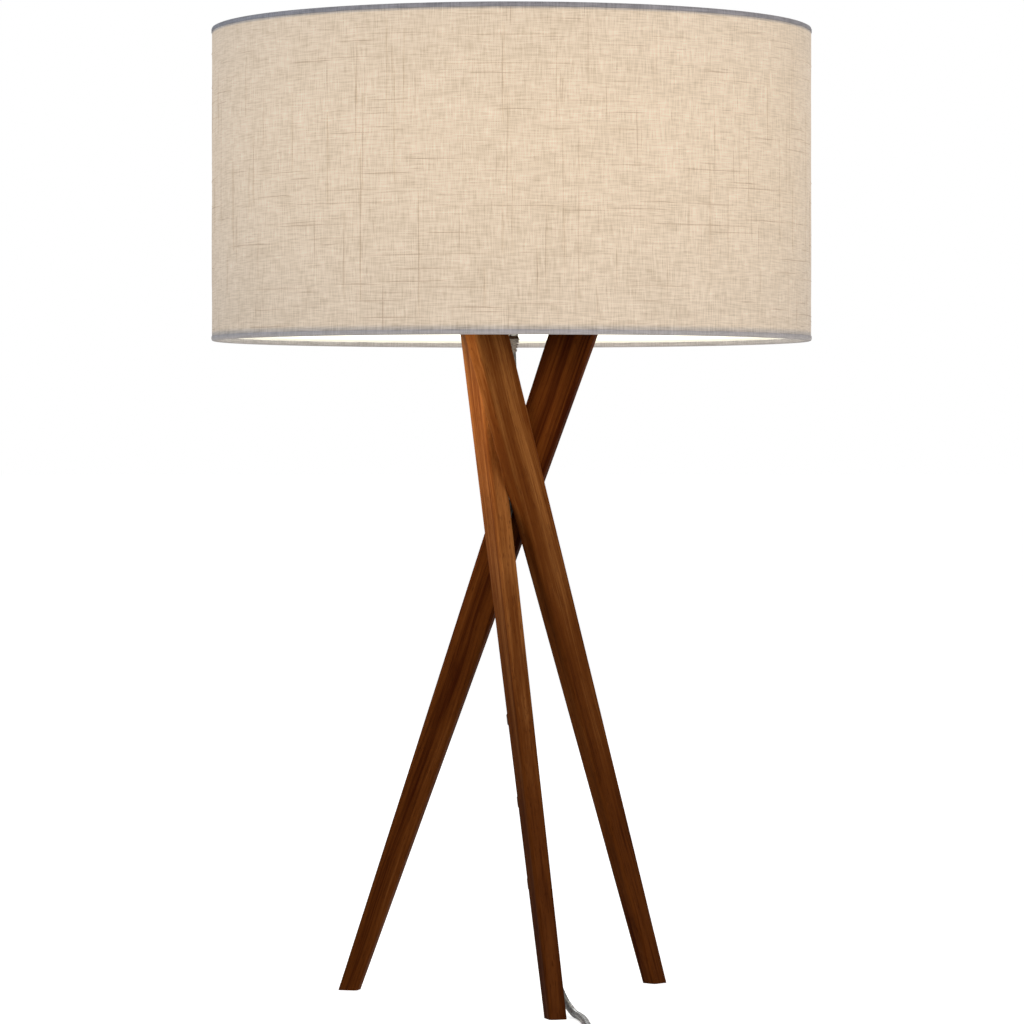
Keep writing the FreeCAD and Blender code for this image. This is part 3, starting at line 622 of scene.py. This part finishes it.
for k in range(LAP_ROWS):
    for i in range(len(profile) - 1):
        a = k * len(profile) + i
        faces.append((a, a + 1, a + 1 + len(profile), a + len(profile)))
cover_lap = new_piece("cover_lap", verts, faces, linen, "shade", smooth=False)
print("lap rows", LAP_ROWS)

# %% [markdown]
# ## Edge tape
#
# A narrow strip of grey tape is rolled over each edge, round the wire ring, and glued. Its
# hem wanders a little and the cloth puckers where it turns the edge. The tape's section is
# a short list of points, swept round the drum, with the wander added to each point. A
# little of the lit liner's light seeps through the lower tape.

# %% Finish: tape
tape, tree, shader = new_finish(
    "tape", Roughness=0.85, Sheen_Weight=0.2, Specular_IOR_Level=0.2, Emission_Strength=0.16
)
flat = along_drum(tree)
threads = use(tree, linen_threads, Flat=flat, Slubs=0.3)
smudge = patches(tree, flat, 0.03, 0.004, shift=3.0, detail=3.0)
tone = between(tree, smudge, (0.34, 0.32, 0.335, 1), (0.44, 0.415, 0.43, 1))
height = put(tree, "SeparateXYZ", {0: flat}).outputs[1]
seep = fade(tree, height, SHADE_LOW.z - 0.001, SHADE_LOW.z + 0.0045, 1.0, 0.3)
middle = (SHADE_LOW.z + SHADE_HIGH.z) / 2
only_below = fade(tree, height, middle - 0.03, middle + 0.03, 1.0, 0.0)
seep = reckon(tree, "MULTIPLY", seep, only_below)
feed(
    shader,
    Base_Color=times(tree, tone, as_grey(tree, threads["Tone"])),
    Emission_Color=times(tree, as_grey(tree, seep), (1.0, 0.88, 0.74, 1)),
)
raise_surface(tree, shader, threads["Relief"], 0.00015, 0.5)
tape.cycles.emission_sampling = "NONE"
print("finish", tape.name)

# %% Roll the tape over both edges
TAPE_AROUND = 720
TOP_LOW, TOP_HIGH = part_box("top_trim")
TAPE_HEIGHT = TOP_HIGH.z - TOP_LOW.z
TAPE_CLOTH = 0.0007
TAPE_OUTSIDE = SHADE_RADIUS + 0.0003
TAPE_SOFT = 0.0014  # radius of the tape's soft corners
DRUM_WALL = 0.002  # cover and liner together
RING_WIRE = 0.003
RING_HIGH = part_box("top_ring")[1]
TAPE_INSIDE = 2 * (SHADE_RADIUS - DRUM_WALL) - RING_HIGH.x - RING_WIRE - TAPE_CLOTH


def tape_section(height):
    """The tape's section from its outside hem to its inside hem, as (radius, depth under the edge)."""
    soft, corner = TAPE_SOFT, TAPE_SOFT * 0.29
    return [
        (SHADE_RADIUS - 0.0004, height),
        (TAPE_OUTSIDE - 0.0001, height),
        (TAPE_OUTSIDE, height - 0.0004),
        (TAPE_OUTSIDE, height * 0.6),
        (TAPE_OUTSIDE, soft),
        (TAPE_OUTSIDE - corner, corner),
        (TAPE_OUTSIDE - soft, 0.0),
        ((TAPE_OUTSIDE + TAPE_INSIDE) / 2, 0.0),
        (TAPE_INSIDE + soft, 0.0),
        (TAPE_INSIDE + corner, corner),
        (TAPE_INSIDE, soft),
        (TAPE_INSIDE, height * 0.6),
        (TAPE_INSIDE, height - 0.0004),
        (TAPE_INSIDE + 0.0001, height),
        (TAPE_INSIDE + 0.0006, height),
    ]


def rolled_tape(name, edge, inward, seed):
    """The tape round one edge; inward is -1 at the top and 1 at the bottom."""
    section = tape_section(TAPE_HEIGHT)
    verts, faces = [], []
    for i in range(TAPE_AROUND):
        angle = 2 * math.pi * i / TAPE_AROUND
        for number, (radius, depth) in enumerate(section):
            at = (math.cos(angle) * SHADE_RADIUS, math.sin(angle) * SHADE_RADIUS, number * 0.02)
            hem = 0.00022 * wander(at, 0.012, seed) * (depth / TAPE_HEIGHT)
            pucker = 0.00008 * wander(at, 0.006, seed + 4)
            r = radius + min(pucker, 0.0)
            z = edge + inward * (depth + hem)
            verts.append((r * math.sin(angle), -r * math.cos(angle), z))
    count = len(section)
    for i in range(TAPE_AROUND):
        j = (i + 1) % TAPE_AROUND
        for k in range(count - 1):
            quad = (i * count + k, j * count + k, j * count + k + 1, i * count + k + 1)
            faces.append(quad if inward < 0 else quad[::-1])
    return new_piece(name, verts, faces, tape, "shade")


top_tape = rolled_tape("top_tape", TOP_HIGH.z, -1, 11.0)
bottom_tape = rolled_tape("bottom_tape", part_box("bottom_trim")[0].z, 1, 23.0)
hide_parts("top_trim")
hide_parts("bottom_trim")
print("tape height", round(TAPE_HEIGHT, 4), "inside radius", round(TAPE_INSIDE, 4))

# %% [markdown]
# ## Walnut
#
# Each leg is sawn along the grain, so the streaks run from foot to top, nearly straight.
# The pattern has to follow each leg's own lean: the group takes a place measured along,
# across and through the board, and each leg's material works that out from the leg's two
# ends. Broad bands give the change from brown to dark brown, fine streaks the fibres, and
# short dark dashes the open pores. Each board's upper part carries painted light and shade
# from the lit drum above: lighter on the front and right legs, a little darker on the left.

# %% Group: walnut_grain
# painted light: between these heights up a board the wood is lightened, standing for the glow of the lit drum
# above
PAINTED_LIGHT_FROM, PAINTED_LIGHT_TO = 0.10, 0.40  # metres up a board
TONE_SHIFT = 0.335  # brings the sum of the patterns back to the middle
walnut_grain, given, gives = new_group(
    "walnut_grain",
    {
        "Board": "Vector",
        "Dark": "Color",
        "Middle": "Color",
        "Light": "Color",
        "Cut": "Float",
        "Paler": "Float",
    },
    {"Color": "Color", "Relief": "Float", "Roughness": "Float"},
)
tree = walnut_grain
dark, middle, light = (given.outputs[label] for label in ("Dark", "Middle", "Light"))
up_board = put(tree, "SeparateXYZ", {0: given.outputs["Board"]}).outputs[0]
cut = put(tree, "CombineXYZ", {2: given.outputs["Cut"]}).outputs[0]
board = put(tree, "VectorMath", {0: given.outputs["Board"], 1: cut}, operation="ADD").outputs[0]
sway = reckon(tree, "MULTIPLY", patches(tree, board, 0.16, 0.05, 0.05, detail=1.0), 0.008)
sway = put(tree, "CombineXYZ", {1: sway}).outputs[0]
board = put(tree, "VectorMath", {0: board, 1: sway}, operation="ADD").outputs[0]
bands = patches(tree, board, 0.30, 0.0075, 0.012, shift=2.0, rough=0.55)
streaks = patches(tree, board, 0.085, 0.0016, 0.0022, shift=7.0, detail=3.0, rough=0.6)
fibres = patches(tree, board, 0.022, 0.00045, 0.0006, shift=3.0, detail=1.0)
pores = patches(tree, board, 0.0065, 0.0003, 0.00045, shift=15.0, detail=0.0)
mottle = patches(tree, board, 0.045, 0.02, 0.02, shift=22.0)
pore = fade(tree, pores, 0.66, 0.76)
tone = reckon(tree, "MULTIPLY_ADD", bands, 0.8, -0.19)
tone = reckon(tree, "MULTIPLY_ADD", streaks, 0.62, tone)
tone = reckon(tree, "MULTIPLY_ADD", fibres, 0.22, tone)
tone = reckon(tree, "SUBTRACT", tone, TONE_SHIFT)
tone = reckon(tree, "MULTIPLY_ADD", mottle, 0.20, tone)
# painted light: the board's upper part is lightened by its own amount, for the light of the drum above
# falling on it
upper = fade(tree, up_board, PAINTED_LIGHT_FROM, PAINTED_LIGHT_TO)
tone = reckon(tree, "MULTIPLY_ADD", upper, given.outputs["Paler"], tone)
wood = between(tree, fade(tree, tone, 0.12, 0.55), dark, middle)
wood = between(tree, fade(tree, tone, 0.50, 0.92), wood, light)
wood = between(tree, reckon(tree, "MULTIPLY", pore, 0.55), wood, dark)
lift = reckon(tree, "MULTIPLY_ADD", streaks, 0.35, reckon(tree, "MULTIPLY", fibres, 0.3))
lift = reckon(tree, "SUBTRACT", lift, reckon(tree, "MULTIPLY", pore, 0.5))
shine = reckon(tree, "MULTIPLY_ADD", streaks, -0.14, 0.60)
shine = reckon(tree, "MULTIPLY_ADD", pore, 0.2, shine)
feed(gives, Color=wood, Relief=lift, Roughness=shine)
print("walnut grain group", len(tree.nodes), "nodes")

# %% Finish: walnut, once for each board


DARK_WALNUT = (0.042, 0.0065, 0.0008, 1)
WALNUT = (0.128, 0.034, 0.0052, 1)
PALE_WALNUT = (0.300, 0.112, 0.029, 1)


def walnut_finish(name, start, along, across, cut, painted_light):
    """Walnut with its grain along a board that starts at start and runs along."""
    along, across = Vector(along).normalized(), Vector(across).normalized()
    material, tree, shader = new_finish(name, Specular_IOR_Level=0.02)
    from_start = {0: own_place(tree), 1: tuple(-Vector(start))}
    place = put(tree, "VectorMath", from_start, operation="ADD").outputs[0]
    parts = []
    for axis in (along, across, along.cross(across)):
        dot = put(tree, "VectorMath", {0: place, 1: tuple(axis)}, operation="DOT_PRODUCT")
        parts.append(dot.outputs["Value"])
    board = put(tree, "CombineXYZ", dict(enumerate(parts))).outputs[0]
    colours = {"Dark": DARK_WALNUT, "Middle": WALNUT, "Light": PALE_WALNUT}
    wood = use(tree, walnut_grain, Board=board, Cut=cut, Paler=painted_light, **colours)
    feed(shader, Base_Color=wood["Color"], Roughness=wood["Roughness"])
    raise_surface(tree, shader, wood["Relief"], 0.00018, 0.5)
    return material


def leg_ends(node):
    """The middle of a leg's foot and the middle of its top."""
    low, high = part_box(node)
    corners = [v.co for v in NODES[node].data.vertices]
    ends = []
    for level in (low.z, high.z):
        near = [c for c in corners if abs(c.z - level) < 0.0005]
        box = [(min(c[i] for c in near) + max(c[i] for c in near)) / 2 for i in range(2)]
        ends.append(Vector((*box, level)))
    return ends


# painted light and shade on each board's upper part: the front leg gets the most light from the drum, the
# left one is a little shaded
PAINTED_TOP_LIGHT = {"leg_front": 0.36, "leg_right": 0.24, "leg_left": -0.06}
CUT_APART = 0.31  # each board is taken from another part of the pattern
for number, (name, painted_light) in enumerate(PAINTED_TOP_LIGHT.items()):
    foot, top = leg_ends(name)
    along = top - foot
    across = along.cross(Vector((0, 0, 1)).cross(along))
    dress(name, walnut_finish("walnut_" + name, foot, along, across, CUT_APART * number, painted_light))
    print(name, "length", round(along.length, 4))
hub_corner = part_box("hub_plate")[0]
dress("hub_plate", walnut_finish("walnut_hub", hub_corner, (1, 0.2, 0), (-0.2, 1, 0), 1.7, 0.0))

# %% [markdown]
# ## Metal
#
# Pressed and plated parts carry fine marks from the tools and a roughness that changes
# from place to place. One group gives both, with the size of the marks as an input.

# %% Group: worked_metal
worked_metal, given, gives = new_group(
    "worked_metal",
    {"Place": "Vector", "Mark": "Float", "Roughness": "Float"},
    {"Roughness": "Float", "Relief": "Float", "Tarnish": "Float"},
)
tree = worked_metal
rate = reckon(tree, "DIVIDE", 1.0, given.outputs["Mark"])
marks = put(tree, "VectorMath", {0: given.outputs["Place"], 3: rate}, operation="SCALE").outputs[0]
lines = put(tree, "VectorMath", {0: marks, 1: (1.0, 1.0, 9.0)}, operation="MULTIPLY").outputs[0]
scratch = cloud(tree, lines, detail=3.0, rough=0.65)
stain = cloud(tree, marks, scale=0.18, detail=3.0)
scratched = reckon(tree, "SUBTRACT", scratch, 0.5)
stained = reckon(tree, "SUBTRACT", stain, 0.5)
shine = reckon(tree, "MULTIPLY_ADD", scratched, 0.35, given.outputs["Roughness"])
shine = reckon(tree, "MULTIPLY_ADD", stained, 0.25, shine)
feed(gives, Roughness=shine, Relief=scratch, Tarnish=fade(tree, stain, 0.45, 0.75))


def metal_finish(name, clean, dull, roughness, mark=0.002):
    """A bare or plated metal, clean with dull stains."""
    material, tree, shader = new_finish(name, Metallic=1.0)
    metal = use(tree, worked_metal, Place=own_place(tree), Mark=mark, Roughness=roughness)
    colour = between(tree, metal["Tarnish"], clean, dull)
    feed(shader, Base_Color=colour, Roughness=metal["Roughness"])
    raise_surface(tree, shader, metal["Relief"], 0.00002, 0.6)
    return material


steel = metal_finish("plated_steel", (0.62, 0.60, 0.57, 1), (0.44, 0.43, 0.42, 1), 0.34)
brass = metal_finish("brass", (0.80, 0.58, 0.25, 1), (0.55, 0.37, 0.15, 1), 0.28)
aluminium = metal_finish("aluminium", (0.78, 0.78, 0.78, 1), (0.6, 0.6, 0.6, 1), 0.3, 0.0015)
for material, names in (
    (steel, "hub_screws waist_pins nipple lower_lock_nut upper_lock_nut"),
    (steel, "harp_saddle harp harp_sleeves switch_shaft"),
    (brass, "socket_cap socket_shell terminal_screws screw_shell centre_contact"),
    (brass, "finial plug_blades"),
    (aluminium, "bulb_cap bulb_tip"),
):
    for name in names.split():
        dress(name, material)
print("metals", steel.name, brass.name, aluminium.name)

# %% [markdown]
# ## Mouldings, coated wire and card
#
# Moulded plastic and powder coat share a skin: a faint orange peel and smudges where it
# has been handled. The group gives the relief and the smudge; each material adds its own
# colour, gloss and see-through.

# %% Group: moulded_skin
moulded_skin, given, gives = new_group(
    "moulded_skin",
    {"Place": "Vector", "Grain": "Float", "Roughness": "Float"},
    {"Roughness": "Float", "Relief": "Float", "Smudge": "Float"},
)
tree = moulded_skin
rate = reckon(tree, "DIVIDE", 1.0, given.outputs["Grain"])
skin = put(tree, "VectorMath", {0: given.outputs["Place"], 3: rate}, operation="SCALE").outputs[0]
peel = cloud(tree, skin)
smudge = cloud(tree, skin, scale=0.06, detail=4.0, rough=0.6)
smudged = reckon(tree, "SUBTRACT", smudge, 0.5)
rougher = reckon(tree, "MULTIPLY_ADD", smudged, 0.4, given.outputs["Roughness"])
feed(gives, Roughness=rougher, Relief=peel, Smudge=fade(tree, smudge, 0.4, 0.7))


def moulded_finish(name, colour, smudged, roughness, grain=0.0006, relief=0.00003, **constants):
    """A moulded or coated skin."""
    material, tree, shader = new_finish(name, **constants)
    skin = use(tree, moulded_skin, Place=own_place(tree), Grain=grain, Roughness=roughness)
    skin_colour = between(tree, skin["Smudge"], colour, smudged)
    feed(shader, Base_Color=skin_colour, Roughness=skin["Roughness"])
    raise_surface(tree, shader, skin["Relief"], relief, 0.6)
    return material


bronze = moulded_finish("bronze_moulding", (0.22, 0.13, 0.07, 1), (0.16, 0.09, 0.05, 1), 0.35, Metallic=0.5)
phenolic = moulded_finish("phenolic", (0.06, 0.035, 0.022, 1), (0.09, 0.055, 0.035, 1), 0.45)
black = moulded_finish("black_moulding", (0.018, 0.018, 0.018, 1), (0.03, 0.03, 0.03, 1), 0.3)
brown = moulded_finish("brown_moulding", (0.10, 0.045, 0.02, 1), (0.07, 0.03, 0.014, 1), 0.4)
powder = moulded_finish("white_wire", (0.86, 0.84, 0.80, 1), (0.78, 0.76, 0.72, 1), 0.45, 0.0009, 0.00005)
card = moulded_finish("card_insulation", (0.45, 0.34, 0.22, 1), (0.36, 0.26, 0.16, 1), 0.8, 0.0011, 0.00008)
clear = moulded_finish(
    "clear_moulding",
    (0.62, 0.63, 0.64, 1),
    (0.54, 0.55, 0.56, 1),
    0.22,
    Transmission_Weight=0.35,
    IOR=1.47,
    Coat_Weight=0.4,
)
for name, material in (
    ("cord_bushing", bronze),
    ("switch_body", phenolic),
    ("switch_knob", black),
    ("bulb_insulator", black),
    ("cord_clips", brown),
    ("top_ring", powder),
    ("bottom_ring", powder),
    ("spider", powder),
    ("socket_sleeve", card),
    ("plug_body", clear),
    ("cord_tie", black),
    ("lead_wires", clear),
):
    dress(name, material)
print("mouldings dressed")

# %% [markdown]
# ## The cord's sheath
#
# The sheath is clear and the braid under it is silver. A curve's own texture coordinates
# run along it and round it, so two slanted waves that cross make the braid.

# %% Finish: clear_cord
BRAID_PITCH = 0.004
BRAID_STARTS = 3  # strands that wind the same way
sheath, tree, shader = new_finish("clear_cord", Roughness=0.25, Coat_Weight=0.6, Coat_Roughness=0.12)
spot = put(tree, "SeparateXYZ", {0: put(tree, "TexCoord").outputs["UV"]})
along = reckon(tree, "MULTIPLY", spot.outputs[0], 2 * math.pi * CORD_LENGTH / BRAID_PITCH)
around = reckon(tree, "MULTIPLY", spot.outputs[1], 2 * math.pi * BRAID_STARTS)
one_way = reckon(tree, "SINE", reckon(tree, "ADD", along, around))
other_way = reckon(tree, "SINE", reckon(tree, "SUBTRACT", along, around))
strands = fade(tree, reckon(tree, "MAXIMUM", one_way, other_way), -0.4, 0.9)
feed(
    shader,
    Base_Color=between(tree, strands, (0.13, 0.13, 0.13, 1), (0.36, 0.355, 0.34, 1)),
    Metallic=fade(tree, strands, 0.0, 1.0, 0.0, 0.55),
)
raise_surface(tree, shader, strands, 0.0001, 0.5)
line.materials.append(sheath)
print("braid pitch", BRAID_PITCH)

# %% [markdown]
# ## The strain relief
#
# Below the bushing the cord wears a short tapered sleeve of grey moulding, ribbed so that it
# bends without kinking. It is turned from a profile, a list of radius and drop under the
# bushing: each rib is a small step out and back.

# %% Turn the strain relief
SLEEVE_SIDES = 40
SLEEVE_RIBS = 4
RIB_STEP = 0.0019
RIB_TAPER = 0.00052
GROOVE = 0.0006
EXIT = Vector(ROUTE[0])
profile = [(0.0030, 0.0), (0.0059, 0.0), (0.0060, 0.0006)]
for rib in range(SLEEVE_RIBS):
    fat = 0.0056 - RIB_TAPER * rib
    drop = 0.0011 + RIB_STEP * rib
    profile += [(fat - GROOVE, drop), (fat - GROOVE, drop + 0.0005)]
    profile += [(fat, drop + 0.0008), (fat - 0.0001, drop + 0.0016)]
profile += [(0.0036, 0.0092), (0.0031, 0.0096), (0.0028, 0.0094)]
verts, faces = [], []
for i in range(SLEEVE_SIDES):
    angle = 2 * math.pi * i / SLEEVE_SIDES
    for r, drop in profile:
        verts.append((EXIT.x + r * math.cos(angle), EXIT.y + r * math.sin(angle), EXIT.z - drop))
rows = len(profile)
for i in range(SLEEVE_SIDES):
    j = (i + 1) % SLEEVE_SIDES
    for k in range(rows - 1):
        faces.append((i * rows + k, i * rows + k + 1, j * rows + k + 1, j * rows + k))
grey = moulded_finish("grey_moulding", (0.56, 0.50, 0.43, 1), (0.47, 0.41, 0.35, 1), 0.38)
cord_sleeve = new_piece("cord_sleeve", verts, faces, grey, "stand")
print(cord_sleeve.name, "from", round(EXIT.z, 4), "down", profile[-2][1])

# %% [markdown]
# ## The liner
#
# The cover is laminated on a thin white film, which is what shows inside the drum. Film
# that is rolled has faint upright ripples, and the cloth's slubs show through it faintly.
# The bulb's light falling on it is painted in as a glow, so it shows almost white.

# %% Finish: liner_film
liner, tree, shader = new_finish("liner_film", Roughness=0.55, Emission_Strength=1.5)
flat = along_drum(tree)
ripple = patches(tree, flat, 0.018, 0.30, shift=6.0)
slub = use(tree, linen_threads, Flat=flat, Slubs=0.6)["Slub"]
# painted light: the film's emission stands for the bulb's light falling on it, brightest level with the bulb
# and greyer at both edges
glow = use(tree, drum_glow, Flat=flat, Evenness=0.6)["Glow"]
shadow = fade(tree, slub, 0.0, 1.0, 1.0, 0.86)
feed(
    shader,
    Base_Color=times(tree, as_grey(tree, shadow), (0.56, 0.55, 0.52, 1)),
    Emission_Color=times(tree, as_grey(tree, glow), (1.0, 0.98, 0.83, 1)),
)
raise_surface(tree, shader, ripple, 0.0004, 0.5)
liner.cycles.emission_sampling = "NONE"
dress("shade_liner", liner)
print("finish", liner.name)

# %% [markdown]
# ## The bulb
#
# The bulb is lit. Its frosted glass glows softly and dims towards its neck. The wall of
# the drum glows too, as painted light for the bulb's light on it, so the light inside
# comes from all round and the harp and socket keep their shape. The glass casts no shadow.

# %% Finish: frosted_glass and clear_glass
frosted, tree, shader = new_finish("frosted_glass", Roughness=0.35, Coat_Weight=0.5, Emission_Strength=0.42)
powdered = cloud(tree, own_place(tree), scale=900.0, detail=3.0)
height = put(tree, "SeparateXYZ", {0: own_place(tree)}).outputs[2]
bowl = fade(tree, height, BULB_LOW.z, BULB_CENTRE, 0.35, 1.0)
bright = reckon(tree, "MULTIPLY", bowl, fade(tree, powdered, 0.3, 0.7, 0.94, 1.0))
feed(
    shader,
    Base_Color=between(tree, powdered, (0.55, 0.53, 0.48, 1), (0.62, 0.60, 0.55, 1)),
    Emission_Color=times(tree, as_grey(tree, bright), (1.0, 0.80, 0.50, 1)),
)
raise_surface(tree, shader, powdered, 0.00001, 0.4)
frosted.cycles.emission_sampling = "NONE"
dress("bulb_glass", frosted)
glass = moulded_finish(
    "clear_glass",
    (0.95, 0.95, 0.95, 1),
    (0.9, 0.9, 0.9, 1),
    0.08,
    Transmission_Weight=0.9,
    IOR=1.5,
)
dress("bulb_light_guide", glass)
for name in ("bulb_glass", "bulb_light_guide"):
    NODES[name].visible_shadow = False
print("bulb from", round(BULB_LOW.z, 3), "to", round(BULB_HIGH.z, 3))

# %% [markdown]
# ## Light and floor
#
# The studio is white all round. A big soft box in front on the right models the legs, a
# weak warm one fills them from the left, and a small cool one with a narrow beam lifts the
# shade's left side. A last one stands behind. A small warm panel inside the drum stands for
# what its wall throws down on the legs. The floor is a wide pale disc. The camera sees it
# nearly white, as a lit sweep looks, but it throws only ordinary light back at the lamp.

# %% Light the studio
WAIST = (0.0, 0.0, 0.4)


def soft_box(name, at, towards, power, colour, size, spread=180):
    """A square panel of light at a place that looks towards another; spread narrows its beam."""
    data = bpy.data.lights.new(name, "AREA")
    data.energy = power
    data.color = colour
    data.size = size
    data.spread = math.radians(spread)
    light = bpy.data.objects.new(name, data)
    bpy.context.scene.collection.objects.link(light)
    light.location = at
    light.rotation_euler = (Vector(towards) - Vector(at)).to_track_quat("-Z", "Y").to_euler()
    light.visible_camera = False


soft_box("drum_bounce", (-0.15, -0.05, 0.52), (-0.02, -0.01, 0.41), 0.21, (1.0, 0.78, 0.55), 0.10, 120)
soft_box("key_right", (1.6, -3.1, 1.4), WAIST, 40.0, (0.99, 0.98, 1.0), 1.6)
soft_box("shade_fill", (-1.3, -0.35, 0.80), (-0.2, -0.05, 0.62), 0.34, (0.56, 0.75, 1.0), 0.4, 50)
soft_box("fill_left", (-3.2, -0.7, 1.0), WAIST, 2.5, (1.0, 0.9, 0.8), 1.6)
soft_box("back_rim", (0.4, 2.6, 1.6), WAIST, 14.0, (1, 1, 1), 1.8)

world = bpy.data.worlds.new("studio")
bpy.context.scene.world = world
world.use_nodes = True
tree = world.node_tree
tree.nodes.clear()
seen = put(tree, "LightPath").outputs["Is Camera Ray"]
lights_the_lamp = put(tree, "Background", {0: (1, 1, 1, 1), 1: 0.30})
shows_white = put(tree, "Background", {0: (1, 1, 1, 1), 1: 1.0})
sky = put(tree, "MixShader", {0: seen, 1: lights_the_lamp.outputs[0], 2: shows_white.outputs[0]})
tree.links.new(sky.outputs[0], put(tree, "OutputWorld").inputs[0])

# %% Lay the floor
FLOOR_RADIUS = 60.0
FLOOR_SIDES = 48
FIRST_RING = 0.5
RING_GROWTH = 1.35
RINGS = 17
verts, faces = [(0, 0, 0)], []
for ring in range(RINGS):
    radius = min(FIRST_RING * RING_GROWTH**ring, FLOOR_RADIUS)
    for side in range(FLOOR_SIDES):
        angle = 2 * math.pi * side / FLOOR_SIDES
        verts.append((radius * math.cos(angle), radius * math.sin(angle), 0))
for i in range(FLOOR_SIDES):
    j = (i + 1) % FLOOR_SIDES
    faces.append((0, 1 + i, 1 + j))
    for ring in range(RINGS - 1):
        base = 1 + ring * FLOOR_SIDES
        faces.append((base + i, base + FLOOR_SIDES + i, base + FLOOR_SIDES + j, base + j))
mesh = bpy.data.meshes.new("studio_floor")
mesh.from_pydata(verts, [], faces)
floor = bpy.data.objects.new("studio_floor", mesh)
bpy.context.scene.collection.objects.link(floor)
paper, tree, shader = new_finish("studio_paper", Roughness=0.9, Specular_IOR_Level=0.1, Emission_Strength=1.0)
seen = put(tree, "LightPath").outputs["Is Camera Ray"]
lift = reckon(tree, "MULTIPLY", seen, 0.75)
speck = cloud(tree, own_place(tree), scale=220.0, detail=3.0)
feed(
    shader,
    Base_Color=between(tree, speck, (0.84, 0.84, 0.84, 1), (0.88, 0.88, 0.88, 1)),
    Emission_Color=as_grey(tree, lift),
)
paper.cycles.emission_sampling = "NONE"
mesh.materials.append(paper)
print("floor faces", len(faces))

# %% Update the view layer
bpy.context.view_layer.update()
